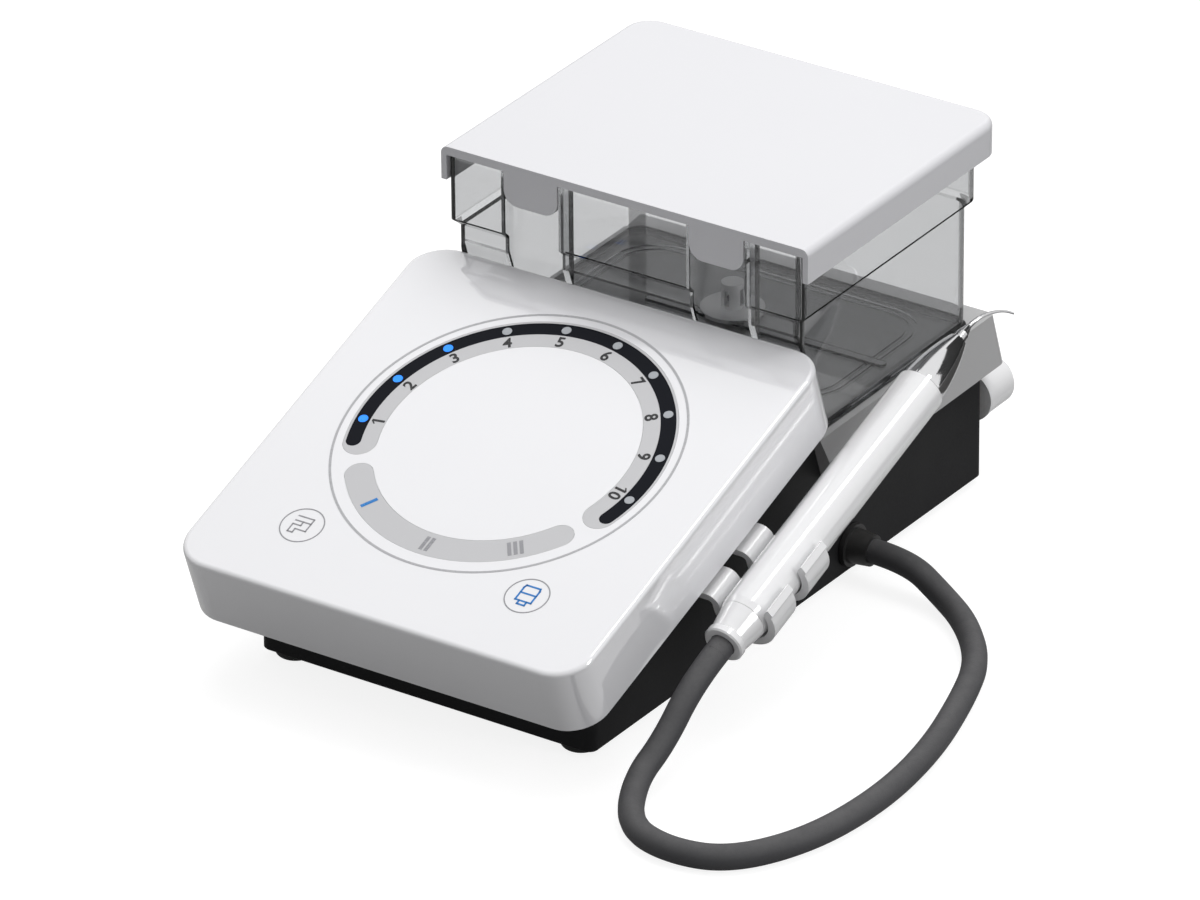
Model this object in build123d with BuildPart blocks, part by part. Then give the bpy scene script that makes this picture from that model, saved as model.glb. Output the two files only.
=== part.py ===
from build123d import *
import os
from math import atan2, cos, degrees, pi, radians, sin, tan

# Table-top ultrasonic scaler with a sloping touch panel, a lift-off water tank and a corded handpiece.
# Millimetres. +Z is up, +Y runs from the front edge to the rear, the feet stand on z = 0.
# The origin lies under the centre of the whole unit's box, so the casing is centred on x = casing_x.

# Whole unit
casing_x = -14.0
foot_height = 3.0
foot_radius = 8.0
foot_face_radius = 5.5
fit_gap = 0.3
inlay_gap = 0.1

# Front casing with the sloping touch panel
panel_tilt = 18.9
panel_front_y = -161.0
panel_front_z = 54.0
casing_width = 180.0
casing_length = 181.5
casing_depth = 29.2
casing_wall = 3.0
casing_corner = 15.0
casing_edge = 2.0
crease_from_front = 168.5
crease_radius = 60.0
rear_strip_angle = 8.0
casing_floor_thickness = 2.6
case_boss_radius = 4.0
front_boss_inset = 16.5
front_boss_y = -95.0
rear_boss_inset = 19.0
rear_boss_y = 115.0
case_screw_length = 12.0
case_screw_sink = 2.2
screw_radius = 1.2
screw_head_radius = 2.6
screw_head_height = 1.8

# Dial on the panel
dial_from_front = 97.9
light_circle_radius = 60.1
light_count = 10
light_radius = 1.9
first_light_angle = 189.0
light_step = 22.0
level_window_width = 5.8
level_window_start_angle = 200.0
level_window_sweep_angle = 220.0
scale_band_radius = 57.3
scale_band_width = 13.4
scale_band_start_angle = 200.8
scale_band_sweep_angle = 221.6
mode_window_radius = 56.7
mode_window_width = 11.0
mode_window_start_angle = 218.0
mode_window_sweep_angle = 104.0
window_depth = 0.8
board_depth = 9.0
board_thickness = 1.6
board_corner = 3.0
control_board_width = 150.0
control_board_length = 140.0
panel_boss_radius = 3.5
board_boss_inset = 12.0
board_hole_radius = 1.6
board_screw_length = 3.5
screw_core_radius = 1.25
lamp_height = 1.0
chip_x = 19.0
chip_rise = 24.0
chip_width = 14.0
chip_height = 3.0
ribbon_plug_rise = 48.0
ribbon_plug_length = 24.0
ribbon_plug_width = 6.0

# Base housing
base_front_y = -125.5
base_rear_y = 138.4
base_front_width = 149.0
base_rear_width = 158.0
base_wall = 2.5
base_floor = 3.0
base_corner = 4.0
base_edge = 0.5
front_foot_x = 64.0
front_foot_y = -117.0
rear_foot_x = 68.0
rear_foot_y = 126.0

# Deck tray
deck_bottom_z = 50.3
deck_top_z = 70.5
deck_bottom_width = 169.0
deck_flare = 4.0
deck_rear_y = 147.0
deck_start = 176.0
deck_length = 170.0
deck_wall = 2.5
deck_corner = 6.0
bay_depth = 3.3

# Water tank
tank_width = 158.2
tank_front_y = 9.0
tank_rear_y = 134.9
tank_step = 2.5
tank_step_z = 121.5
tank_step_height = 2.5
tank_wall = 2.0
tank_corner = 8.0
tank_front_corner = 2.5
tank_floor_thickness = 2.5
tank_skirt = 3.2
tank_front_gap = 1.5
bay_gap = 0.8
grip_x = 41.5
channel_depth = 6.0
pad_margin = 10.0
pad_corner = 20.0
groove_width = 1.6
groove_depth = 0.6
ridge_x = 17.0
ridge_y = 79.5
ridge_length = 106.0
ridge_width = 4.0
ridge_height = 1.2

# Tank lid
lid_top_z = 154.5
lid_width = 163.8
lid_front_y = 8.5
lid_rear_y = 145.5
lid_skirt = 13.9
lid_wall = 2.4
lid_top_thickness = 3.5
lid_corner = 11.0
lid_edge = 3.0
tab_width = 24.0
tab_bottom_z = 137.5
tab_corner = 6.0

# Tank outlet valve and its seat
valve_x = -3.0
valve_y = 89.0
valve_flange_radius = 12.5
valve_flange_thickness = 1.5
valve_post_radius = 4.4
valve_post_height = 12.0
valve_stem_radius = 5.5
valve_stem_length = 9.0
valve_bore_radius = 1.7
valve_pin_radius = 1.2
valve_pin_head_radius = 2.2
valve_pin_travel = 2.5
valve_pin_head_thickness = 1.2
valve_post_wall = 1.2
valve_slot_width = 2.4
seal_groove_height = 1.8
seal_groove_depth = 1.5
seat_clear_height = 4.0
nipple_radius = 2.4
nipple_bore = 1.4
nipple_length = 9.0
seat_gap = 0.3
seat_wall = 2.5
seat_flange_radius = 12.0

# Handpiece, along a line parallel to the panel
handpiece_x = 104.4
handpiece_depth = 39.5
tail_start = 67.8
tail_end = 81.7
tail_ring_radius = 8.0
tail_radius = 9.2
sleeve_gap = 0.2
sleeve_end = 211.0
sleeve_radius = 9.7
sleeve_bore = 7.4
nose_end = 238.3
nose_radius = 8.6
nose_tip_radius = 3.7
nose_bore = 2.9
tip_shank_radius = 2.4
tip_neck_length = 11.0
boot_length = 6.0
tail_ring_length = 3.0
tail_chamfer = 0.6
tail_bore_length = 9.0
plug_length = 14.0
nose_neck_length = 8.0
nose_rim_length = 1.5
nose_bulge = 0.9
horn_start = 140.0
horn_step = 196.0
horn_radius = 6.2
seal_places = (150.0, 190.0)
ring_count = 4
ring_thickness = 3.0
ring_radius = 5.6
back_mass_length = 16.0
stack_bolt_radius = 2.0
stack_bolt_depth = 8.0
stud_radius = 1.2
stud_length = 5.0
tip_collar_length = 4.0
tip_cone_length = 8.5
tip_neck_radius = 1.1
tip_end_radius = 0.35
tip_reach = 12.7
tip_sections = 6

# Handpiece holder
hook_inner_radius = 10.3
hook_thickness = 3.0
hook_width = 15.0
hook_1_start = 83.0
hook_2_start = 107.0
hook_arm_depth = 34.5
lip_height_angle = 18.0
lip_flare_angle = 75.0
lip_radius = 9.0
flare_radius = 3.2
hook_bend_drop = 1.5
hook_flange_thickness = 2.0

# Handpiece cord
cord_radius = 4.9
cord_floor_gap = 0.1
gland_y = 45.5
gland_z = 14.0
gland_length = 8.0
gland_radius = 7.0
gland_neck_radius = 5.0
gland_flange_thickness = 2.0
gland_taper = 6.0
first_cord_run = 16.0
last_cord_run = 16.3
cord_arc_share = 0.45
gland_flange_radius = 8.5
gland_nut_radius = 7.0

# Water knob and needle valve
knob_inset = 9.5
knob_z = 32.5
knob_radius = 10.5
knob_start_y = 142.0
knob_end_y = 161.0
spindle_radius = 3.0
spindle_gap = 0.05
valve_neck_radius = 4.0
needle_valve_radius = 5.0
needle_valve_length = 14.0
needle_valve_setback = 3.0
knob_bore_depth = 12.0
knob_rim = 1.4

# Rear sockets
inlet_x = -48.0
switch_x = -12.0
foot_socket_x = 26.0
socket_z = 30.0
inlet_width = 27.4
inlet_height = 20.0
inlet_wall = 1.8
inlet_depth = 17.0
switch_width = 15.0
switch_height = 21.0
rocker_angle = 12.0
foot_socket_radius = 8.0
foot_socket_bore = 4.6
foot_socket_depth = 12.0
foot_socket_rim = 2.0
socket_flange = 1.2
inlet_cut_corner = 3.5
inlet_rim = 2.0
pin_setback = 4.0
pin_thickness = 2.0
pin_width = 4.0
pin_rise = 2.0
pin_pitch = 14.0
switch_wall = 1.5
switch_rim = 1.4
switch_depth = 16.0
rocker_sink = 3.5
rocker_dish = 0.6
rocker_pin_radius = 1.0

# Pieces on the base floor
board_post_height = 6.0
board_post_radius = 3.5
board_post_inset = 8.0
main_board_x = -24.0
main_board_y = 56.0
main_board_width = 68.0
main_board_length = 92.0
plug_x = 16.0
plug_y = 26.0
plug_length = 16.0
plug_width = 7.0
driver_row_length = 28.0
driver_row_width = 6.0
coil_width = 12.0
coil_height = 14.0
capacitor_pitch = 15.0
capacitor_radius = 5.0
capacitor_height = 9.0
transformer_y = -54.0
transformer_height = 40.0
pump_x = 34.0
pump_y = 20.0
pump_z = 27.0
pump_motor_radius = 13.5
pump_motor_length = 40.0
pump_head_radius = 19.0
pump_head_length = 16.0
pump_head_wall = 4.0
pump_foot_width = 24.0
pump_cover_thickness = 2.0
pump_nipple_x = 9.0
pump_nipple_top_z = 52.0
rotor_radius = 9.0
roller_radius = 3.0
roller_circle = 10.0
roller_count = 3
shaft_radius = 1.5
hose_bend = 4.0
core_limb = 11.0
core_thickness = 26.0
core_yoke = 6.6
winding_overhang = 9.0

front_boss_x = base_front_width / 2 - front_boss_inset
rear_boss_x = base_rear_width / 2 - rear_boss_inset
knob_x = base_rear_width / 2 - knob_inset

os.makedirs("parts", exist_ok=True)

tilt = radians(panel_tilt)
up_panel = Vector(0, cos(tilt), sin(tilt))
out_of_panel = Vector(0, -sin(tilt), cos(tilt))
panel = Plane(origin=(casing_x, panel_front_y, panel_front_z), x_dir=(1, 0, 0), z_dir=out_of_panel)


def panel_point(x, along, depth):
    """A point by its place across the panel, up the panel and below its surface."""
    return panel.from_local_coords(Vector(x, along, -depth))


def level(z):
    """A horizontal plane with its origin on the casing's centre plane."""
    return Plane(origin=(casing_x, 0, z))


def upright(y):
    """A plane across the unit, seen from the front: local x is X and local y is Z."""
    return Plane(origin=(casing_x, y, 0), x_dir=(1, 0, 0), z_dir=(0, -1, 0))


def sidewise(x):
    """A plane along the unit, seen from the right: local x is Y and local y is Z."""
    return Plane(origin=(casing_x + x, 0, 0), x_dir=(0, 1, 0), z_dir=(1, 0, 0))


def up_panel_plane(x, along, depth):
    """A plane square to the panel's rise, at a point given as for panel_point."""
    return Plane(origin=panel_point(x, along, depth), x_dir=(1, 0, 0), z_dir=up_panel)


def finish(piece, name):
    """Labels a finished piece and writes it."""
    piece.part.label = name
    export_step(piece.part, f"parts/{name}.step")


def dial_lights(radius):
    """The row of lights round the dial, on the sketch plane at hand."""
    with Locations((0, dial_from_front)):
        with PolarLocations(
            light_circle_radius,
            light_count,
            start_angle=first_light_angle - light_step * (light_count - 1),
            angular_range=light_step * (light_count - 1),
            endpoint=True,
        ):
            Circle(radius)


def dial_arc(radius, start, sweep, width, mode=Mode.ADD):
    """A round-ended band about the dial's centre, on the sketch plane at hand."""
    with BuildSketch(Plane.XY, mode=Mode.PRIVATE) as band:
        SlotArc(CenterArc((0, dial_from_front), radius, start, sweep), width)
    add(band.sketch, mode=mode)


def board_bosses(radius, mode=Mode.ADD):
    """The places of the four bosses that carry the control board, on the sketch plane at hand."""
    with Locations((0, dial_from_front)):
        with GridLocations(
            control_board_width - board_boss_inset, control_board_length - board_boss_inset, 2, 2
        ):
            Circle(radius, mode=mode)


# Front casing: a shell open below, with a flatter strip behind a soft crease along its rear edge
strip_drop = (casing_length - crease_from_front) * tan(radians(rear_strip_angle))
crease_half = crease_radius * tan(radians(rear_strip_angle) / 2)
with BuildPart() as front_casing:
    with BuildSketch(panel):
        with Locations((0, casing_length / 2)):
            RectangleRounded(casing_width, casing_length, casing_corner)
    extrude(amount=-casing_depth)
    with BuildSketch(Plane(origin=panel.origin, x_dir=up_panel, z_dir=(1, 0, 0))):
        with BuildLine():
            bend = JernArc((crease_from_front - crease_half, 0), (1, 0), crease_radius, -rear_strip_angle)
            slope = PolarLine(bend @ 1, casing_wall + casing_corner, -rear_strip_angle)
            Polyline(
                slope @ 1, (casing_length + casing_corner, casing_wall), (0, casing_wall), (0, 0), bend @ 0
            )
        make_face()
    extrude(amount=casing_width, both=True, mode=Mode.SUBTRACT)
    rim_height = panel.origin.dot(out_of_panel) - 1.2 * strip_drop
    high_edges = front_casing.edges().filter_by(lambda edge: edge.center().dot(out_of_panel) > rim_height)
    rim_edges = [
        edge
        for edge in high_edges
        if abs((edge % 0.5).X) < 0.99
        or not 1 < (edge.center() - panel.origin).dot(up_panel) < casing_length - 1
    ]
    fillet(rim_edges, casing_edge)
    with BuildSketch(panel.offset(-casing_wall - strip_drop)):
        with Locations((0, casing_length / 2)):
            RectangleRounded(
                casing_width - 2 * casing_wall,
                casing_length - 2 * casing_wall,
                casing_corner - casing_wall,
            )
    extrude(amount=-casing_depth, mode=Mode.SUBTRACT)
    with BuildSketch(panel.offset(-casing_wall - strip_drop)):
        board_bosses(panel_boss_radius)
    extrude(amount=-(board_depth - casing_wall - strip_drop))
    with BuildSketch(panel.offset(-board_depth)):
        board_bosses(screw_core_radius)
    extrude(amount=board_screw_length, mode=Mode.SUBTRACT)
    with BuildSketch(panel):
        dial_arc(
            scale_band_radius,
            scale_band_start_angle,
            -scale_band_sweep_angle,
            scale_band_width + 2 * inlay_gap,
        )
        dial_arc(
            mode_window_radius,
            mode_window_start_angle,
            mode_window_sweep_angle,
            mode_window_width + 2 * inlay_gap,
        )
    extrude(amount=-window_depth, mode=Mode.SUBTRACT)
    with BuildSketch(panel):
        dial_lights(light_radius + inlay_gap)
    extrude(amount=-board_depth, mode=Mode.SUBTRACT)
finish(front_casing, "front_casing")

# Grey scale band, let in flush, with room for the dark level window inside it
with BuildPart() as scale_band:
    with BuildSketch(panel):
        dial_arc(scale_band_radius, scale_band_start_angle, -scale_band_sweep_angle, scale_band_width)
        dial_arc(
            light_circle_radius,
            level_window_start_angle,
            -level_window_sweep_angle,
            level_window_width + 2 * inlay_gap,
            Mode.SUBTRACT,
        )
    extrude(amount=-window_depth)
finish(scale_band, "scale_band")

# Dark level window with a hole for each light
with BuildPart() as level_window:
    with BuildSketch(panel):
        dial_arc(
            light_circle_radius, level_window_start_angle, -level_window_sweep_angle, level_window_width
        )
    extrude(amount=-window_depth)
    with BuildSketch(panel):
        dial_lights(light_radius + inlay_gap)
    extrude(amount=-window_depth, mode=Mode.SUBTRACT)
finish(level_window, "level_window")

# Light guides from the panel's surface down to the lamps on the control board
with BuildPart() as level_lights:
    with BuildSketch(panel):
        dial_lights(light_radius)
    extrude(amount=-(board_depth - lamp_height))
finish(level_lights, "level_lights")

# Grey mode window, let in flush
with BuildPart() as mode_window:
    with BuildSketch(panel):
        dial_arc(mode_window_radius, mode_window_start_angle, mode_window_sweep_angle, mode_window_width)
    extrude(amount=-window_depth)
finish(mode_window, "mode_window")

# Control board with a lamp under each light guide
with BuildPart() as control_board:
    with BuildSketch(panel.offset(-board_depth)):
        with Locations((0, dial_from_front)):
            RectangleRounded(control_board_width, control_board_length, board_corner)
        board_bosses(board_hole_radius, Mode.SUBTRACT)
    extrude(amount=-board_thickness)
    with BuildSketch(panel.offset(-board_depth)):
        dial_lights(light_radius)
    extrude(amount=lamp_height)
    with BuildSketch(panel.offset(-board_depth - board_thickness)):
        with Locations((-chip_x, dial_from_front), (chip_x, dial_from_front + chip_rise)):
            Rectangle(chip_width, chip_width)
        with Locations((0, dial_from_front + ribbon_plug_rise)):
            Rectangle(ribbon_plug_length, ribbon_plug_width)
    extrude(amount=-chip_height)
finish(control_board, "control_board")

# Screws that hold the control board to its bosses
with BuildPart() as board_screws:
    with BuildSketch(panel.offset(-board_depth - board_thickness)):
        board_bosses(screw_head_radius)
    extrude(amount=-screw_head_height)
    with BuildSketch(panel.offset(-board_depth - board_thickness)):
        board_bosses(screw_radius)
    extrude(amount=board_thickness + board_screw_length - fit_gap)
finish(board_screws, "board_screws")

# Closing floor of the front casing, with two bosses down to the base floor
underside = panel.offset(-casing_depth)
base_floor_top = foot_height + base_floor
front_boss_places = [(-front_boss_x, front_boss_y), (front_boss_x, front_boss_y)]
rear_boss_places = [(-rear_boss_x, rear_boss_y), (rear_boss_x, rear_boss_y)]
with BuildPart() as casing_floor:
    with BuildSketch(underside):
        with Locations((0, casing_length / 2)):
            RectangleRounded(
                casing_width - 2 * (casing_wall + fit_gap),
                casing_length - 2 * (casing_wall + fit_gap),
                casing_corner - casing_wall - fit_gap,
            )
    extrude(amount=casing_floor_thickness)
    with BuildSketch(level(base_floor_top)):
        with Locations(*front_boss_places):
            Circle(case_boss_radius)
    extrude(amount=panel_front_z)
    split(bisect_by=underside.offset(casing_floor_thickness), keep=Keep.BOTTOM)
    with BuildSketch(level(base_floor_top)):
        with Locations(*front_boss_places):
            Circle(screw_core_radius)
    extrude(amount=case_screw_length, mode=Mode.SUBTRACT)
finish(casing_floor, "casing_floor")


def rise_y(along, z):
    """Where a plane square to the panel, at a distance up it, reaches a height."""
    depth = (panel_front_z + along * sin(tilt) - z) / cos(tilt)
    return panel_front_y + along * cos(tilt) + depth * sin(tilt)


def underside_z(y):
    """The height of the front casing's underside at a place along the unit."""
    along = (y - panel_front_y - casing_depth * sin(tilt)) / cos(tilt)
    return panel_front_z + along * sin(tilt) - casing_depth * cos(tilt)


def base_half_width(y):
    """Half the base's width, which grows evenly towards the rear."""
    share = (y - base_front_y) / (base_rear_y - base_front_y)
    return (base_front_width + share * (base_rear_width - base_front_width)) / 2


def base_plan(inset):
    """The base's outline from above, on the sketch plane at hand."""
    front_y = base_front_y + inset
    rear_y = base_rear_y - inset
    Polygon(
        (-base_half_width(front_y) + inset, front_y),
        (base_half_width(front_y) - inset, front_y),
        (base_half_width(rear_y) - inset, rear_y),
        (-base_half_width(rear_y) + inset, rear_y),
        align=None,
    )


# Inside of the base: open to the front casing and to the deck, with a slanted bulkhead between them
bulkhead = deck_start - fit_gap
bulkhead_foot_y = rise_y(bulkhead, deck_bottom_z)
with BuildPart() as base_room:
    with BuildSketch(level(base_floor_top)) as room_plan:
        base_plan(base_wall)
        fillet(room_plan.vertices(), base_corner - base_wall)
    extrude(amount=casing_length)
    with BuildSketch(sidewise(0)):
        Polygon(
            (base_front_y, base_floor_top),
            (base_rear_y, base_floor_top),
            (base_rear_y, deck_bottom_z + 1),
            (bulkhead_foot_y, deck_bottom_z + 1),
            (bulkhead_foot_y, deck_bottom_z - base_wall),
            (rise_y(bulkhead - base_wall, deck_bottom_z - base_wall), deck_bottom_z - base_wall),
            (rise_y(bulkhead - base_wall, casing_length), casing_length),
            (base_front_y, casing_length),
            align=None,
        )
    extrude(amount=casing_width, both=True, mode=Mode.INTERSECT)


def board_posts(radius, mode=Mode.ADD):
    """The places of the main board's four posts, on the sketch plane at hand."""
    with Locations((main_board_x, main_board_y)):
        with GridLocations(
            main_board_width - board_post_inset, main_board_length - board_post_inset, 2, 2
        ):
            Circle(radius, mode=mode)


# Base housing
wall_y = base_rear_y - base_wall
gland_x = base_half_width(gland_y)
hook_slots = [start + hook_width / 2 for start in (hook_1_start, hook_2_start)]
with BuildPart() as base_housing:
    with BuildSketch(level(foot_height)) as plan:
        base_plan(0)
        fillet(plan.vertices(), base_corner)
    extrude(amount=casing_length)
    chamfer(base_housing.faces().sort_by(Axis.Z)[0].edges(), base_edge)
    with BuildSketch(sidewise(0)):
        Polygon(
            (base_front_y, foot_height),
            (base_rear_y, foot_height),
            (base_rear_y, deck_bottom_z),
            (bulkhead_foot_y, deck_bottom_z),
            (rise_y(bulkhead, casing_length), casing_length),
            (base_front_y, casing_length),
            align=None,
        )
    extrude(amount=casing_width, both=True, mode=Mode.INTERSECT)
    split(bisect_by=underside, keep=Keep.BOTTOM)
    add(base_room.part, mode=Mode.SUBTRACT)
    with BuildSketch(level(base_floor_top)):
        board_posts(board_post_radius)
    extrude(amount=board_post_height)
    with BuildSketch(level(base_floor_top + board_post_height)):
        board_posts(screw_core_radius)
    extrude(amount=-board_post_height, mode=Mode.SUBTRACT)
    with BuildSketch(level(foot_height)):
        with Locations(*front_boss_places, *rear_boss_places):
            Circle(screw_head_radius + fit_gap)
    extrude(amount=case_screw_sink, mode=Mode.SUBTRACT)
    with BuildSketch(level(foot_height)):
        with Locations(*front_boss_places, *rear_boss_places):
            Circle(screw_radius + fit_gap)
    extrude(amount=base_floor, mode=Mode.SUBTRACT)
    with BuildSketch(upright(base_rear_y)):
        with Locations((inlet_x, socket_z)):
            Rectangle(inlet_width + 2 * fit_gap, inlet_height + 2 * fit_gap)
        with Locations((switch_x, socket_z)):
            Rectangle(switch_width + 2 * fit_gap, switch_height + 2 * fit_gap)
        with Locations((foot_socket_x, socket_z)):
            Circle(foot_socket_radius + fit_gap)
        with Locations((knob_x, knob_z)):
            Circle(valve_neck_radius + fit_gap)
    extrude(amount=2 * base_wall, both=True, mode=Mode.SUBTRACT)
    with BuildSketch(sidewise(gland_x)):
        with Locations((gland_y, gland_z)):
            Circle(gland_neck_radius + fit_gap)
    extrude(amount=2 * base_wall, both=True, mode=Mode.SUBTRACT)
    for along in hook_slots:
        slot_centre = panel_point(base_front_width / 2, along, hook_arm_depth)
        with BuildSketch(Plane(origin=slot_centre, x_dir=up_panel, z_dir=(1, 0, 0))):
            Rectangle(hook_width + 2 * fit_gap, hook_thickness + 2 * fit_gap)
        extrude(amount=2 * base_wall, both=True, mode=Mode.SUBTRACT)
finish(base_housing, "base_housing")

# Rubber feet: short domes with a flat face to stand on
with BuildPart() as rubber_feet:
    with BuildSketch(level(foot_height)):
        with Locations(
            (-front_foot_x, front_foot_y),
            (front_foot_x, front_foot_y),
            (-rear_foot_x, rear_foot_y),
            (rear_foot_x, rear_foot_y),
        ):
            Circle(foot_radius)
    extrude(amount=-foot_height)
    fillet(rubber_feet.faces().sort_by(Axis.Z)[0:4].edges(), foot_radius - foot_face_radius)
finish(rubber_feet, "rubber_feet")

# Screws that close the unit from below
with BuildPart() as case_screws:
    with BuildSketch(level(foot_height + case_screw_sink)):
        with Locations(*front_boss_places, *rear_boss_places):
            Circle(screw_head_radius)
    extrude(amount=-screw_head_height)
    with BuildSketch(level(foot_height + case_screw_sink)):
        with Locations(*front_boss_places, *rear_boss_places):
            Circle(screw_radius)
    extrude(amount=base_floor - case_screw_sink + case_screw_length - fit_gap)
finish(case_screws, "case_screws")

# Deck tray behind the front casing, with a shallow bay for the tank
deck_taper = degrees(atan2(deck_flare, deck_top_z - deck_bottom_z))
bay_floor_z = deck_top_z - bay_depth
deck_ceiling_z = bay_floor_z - deck_wall
deck_front_y = rise_y(deck_start, deck_bottom_z)
tank_plane = casing_length + tank_front_gap
tank_lower_half = tank_width / 2 - tank_step
channel_width = tab_width + 2 * fit_gap
channel_rear_y = tank_front_y + channel_depth
bay_front_y = rise_y(tank_plane, deck_top_z) - bay_gap
bay_rear_y = tank_rear_y - tank_step + bay_gap
deck_room_half = base_front_width / 2 - base_wall - 1
seat_radius = valve_stem_radius + seat_gap + seat_wall
with BuildPart() as deck_tray:
    with BuildSketch(level(deck_bottom_z)):
        with Locations((0, deck_rear_y - deck_length / 2)):
            RectangleRounded(deck_bottom_width, deck_length, deck_corner)
    extrude(amount=deck_top_z - deck_bottom_z, taper=deck_taper)
    split(bisect_by=Plane(origin=panel_point(0, deck_start, 0), z_dir=up_panel), keep=Keep.TOP)
    with BuildSketch(level(deck_top_z)) as bay_plan:
        with Locations((0, (bay_front_y + bay_rear_y) / 2)):
            Rectangle(2 * (tank_lower_half + bay_gap), bay_rear_y - bay_front_y)
        fillet(bay_plan.vertices().sort_by(Axis.Y)[-2:], tank_corner)
    extrude(amount=-bay_depth, mode=Mode.SUBTRACT)
    room_front_y = deck_front_y + deck_wall
    room_rear_y = wall_y - deck_wall
    with BuildSketch(level(deck_bottom_z)):
        with Locations((0, (room_front_y + room_rear_y) / 2)):
            RectangleRounded(2 * deck_room_half, room_rear_y - room_front_y, deck_wall)
    extrude(amount=deck_ceiling_z - deck_bottom_z, mode=Mode.SUBTRACT)
    with BuildSketch(level(base_floor_top)):
        with Locations(*rear_boss_places):
            Circle(case_boss_radius)
    extrude(amount=deck_ceiling_z - base_floor_top)
    with BuildSketch(level(base_floor_top)):
        with Locations(*rear_boss_places):
            Circle(screw_core_radius)
    extrude(amount=case_screw_length, mode=Mode.SUBTRACT)
    with BuildSketch(level(deck_top_z)):
        with Locations((valve_x, valve_y)):
            Circle(seat_radius + inlay_gap)
    extrude(amount=-(deck_top_z - deck_bottom_z), mode=Mode.SUBTRACT)
finish(deck_tray, "deck_tray")


def tank_plan(half_width, front_y, rear_y, inset):
    """One storey of the tank from above, tighter at its front corners than at its rear ones."""
    with BuildSketch(Plane.XY, mode=Mode.PRIVATE) as storey:
        with Locations((0, (front_y + rear_y) / 2)):
            Rectangle(2 * (half_width - inset), rear_y - front_y - 2 * inset)
        by_depth = storey.vertices().sort_by(Axis.Y)
        fillet(by_depth[:2], tank_front_corner - inset)
        fillet(storey.vertices().sort_by(Axis.Y)[-2:], tank_corner - inset)
    add(storey.sketch)


def tank_shape(inset, bottom_z, top_z):
    """The tank's form with its step, grip channels and slanted lower front, drawn in by a wall."""
    lower = (tank_lower_half, tank_front_y + tank_step, tank_rear_y - tank_step, inset)
    upper = (tank_width / 2, tank_front_y, tank_rear_y, inset)
    with BuildPart() as shape:
        with BuildSketch(level(bottom_z)):
            tank_plan(*lower)
        extrude(amount=tank_step_z - bottom_z)
        with BuildSketch(level(tank_step_z)):
            tank_plan(*lower)
        with BuildSketch(level(tank_step_z + tank_step_height)):
            tank_plan(*upper)
        loft(ruled=True)
        with BuildSketch(level(tank_step_z + tank_step_height)):
            tank_plan(*upper)
        extrude(amount=top_z - tank_step_z - tank_step_height)
        with BuildSketch(level(bottom_z)):
            with Locations((-grip_x, channel_rear_y + inset), (grip_x, channel_rear_y + inset)):
                Rectangle(
                    channel_width + 2 * inset, 4 * channel_depth, align=(Align.CENTER, Align.MAX)
                )
        extrude(amount=top_z - bottom_z, mode=Mode.SUBTRACT)
        split(bisect_by=Plane(origin=panel_point(0, tank_plane + inset, 0), z_dir=up_panel), keep=Keep.TOP)
    return shape.part


# Clear water tank: stepped walls, two grip channels, a floor raised on a skirt, a pad and a ridge on it
tank_bottom_z = bay_floor_z
tank_floor_under_z = tank_bottom_z + tank_skirt
tank_floor_z = tank_floor_under_z + tank_floor_thickness
tank_top_z = lid_top_z - lid_top_thickness
tank_outside = tank_shape(0, tank_bottom_z, tank_top_z)
tank_inside = tank_shape(tank_wall, tank_floor_z, tank_top_z)
pad_front_y = rise_y(tank_plane, tank_floor_z) + tank_wall + pad_margin
pad_rear_y = tank_rear_y - tank_step - pad_margin
pad_half = tank_lower_half - pad_margin
with BuildPart() as water_tank:
    add(tank_outside)
    add(tank_inside, mode=Mode.SUBTRACT)
    skirt_front_y = rise_y(tank_plane, tank_bottom_z) + tank_wall
    skirt_rear_y = tank_rear_y - tank_step - tank_wall
    with BuildSketch(level(tank_bottom_z)):
        with Locations((0, (skirt_front_y + skirt_rear_y) / 2)):
            RectangleRounded(
                2 * (tank_lower_half - tank_wall), skirt_rear_y - skirt_front_y, tank_corner - tank_wall
            )
    extrude(amount=tank_skirt, mode=Mode.SUBTRACT)
    with BuildSketch(level(tank_floor_z)):
        with Locations((0, (pad_front_y + pad_rear_y) / 2)):
            RectangleRounded(2 * pad_half, pad_rear_y - pad_front_y, pad_corner)
            RectangleRounded(
                2 * (pad_half - groove_width),
                pad_rear_y - pad_front_y - 2 * groove_width,
                pad_corner - groove_width,
                mode=Mode.SUBTRACT,
            )
            RectangleRounded(
                2 * (pad_half - 2 * groove_width),
                pad_rear_y - pad_front_y - 4 * groove_width,
                pad_corner - 2 * groove_width,
            )
            RectangleRounded(
                2 * (pad_half - 3 * groove_width),
                pad_rear_y - pad_front_y - 6 * groove_width,
                pad_corner - 3 * groove_width,
                mode=Mode.SUBTRACT,
            )
    extrude(amount=-groove_depth, mode=Mode.SUBTRACT)
    with BuildSketch(level(tank_floor_z - groove_depth)):
        with Locations((ridge_x, ridge_y)):
            RectangleRounded(ridge_length, ridge_width, ridge_width / 3)
    extrude(amount=groove_depth + ridge_height)
    with BuildSketch(level(tank_floor_z)):
        with Locations((valve_x, valve_y)):
            Circle(valve_flange_radius + inlay_gap)
    extrude(amount=ridge_height + 1, mode=Mode.SUBTRACT)
    with BuildSketch(level(tank_floor_z)):
        with Locations((valve_x, valve_y)):
            Circle(valve_stem_radius + inlay_gap)
    extrude(amount=-2 * tank_floor_thickness, mode=Mode.SUBTRACT)
finish(water_tank, "water_tank")

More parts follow.
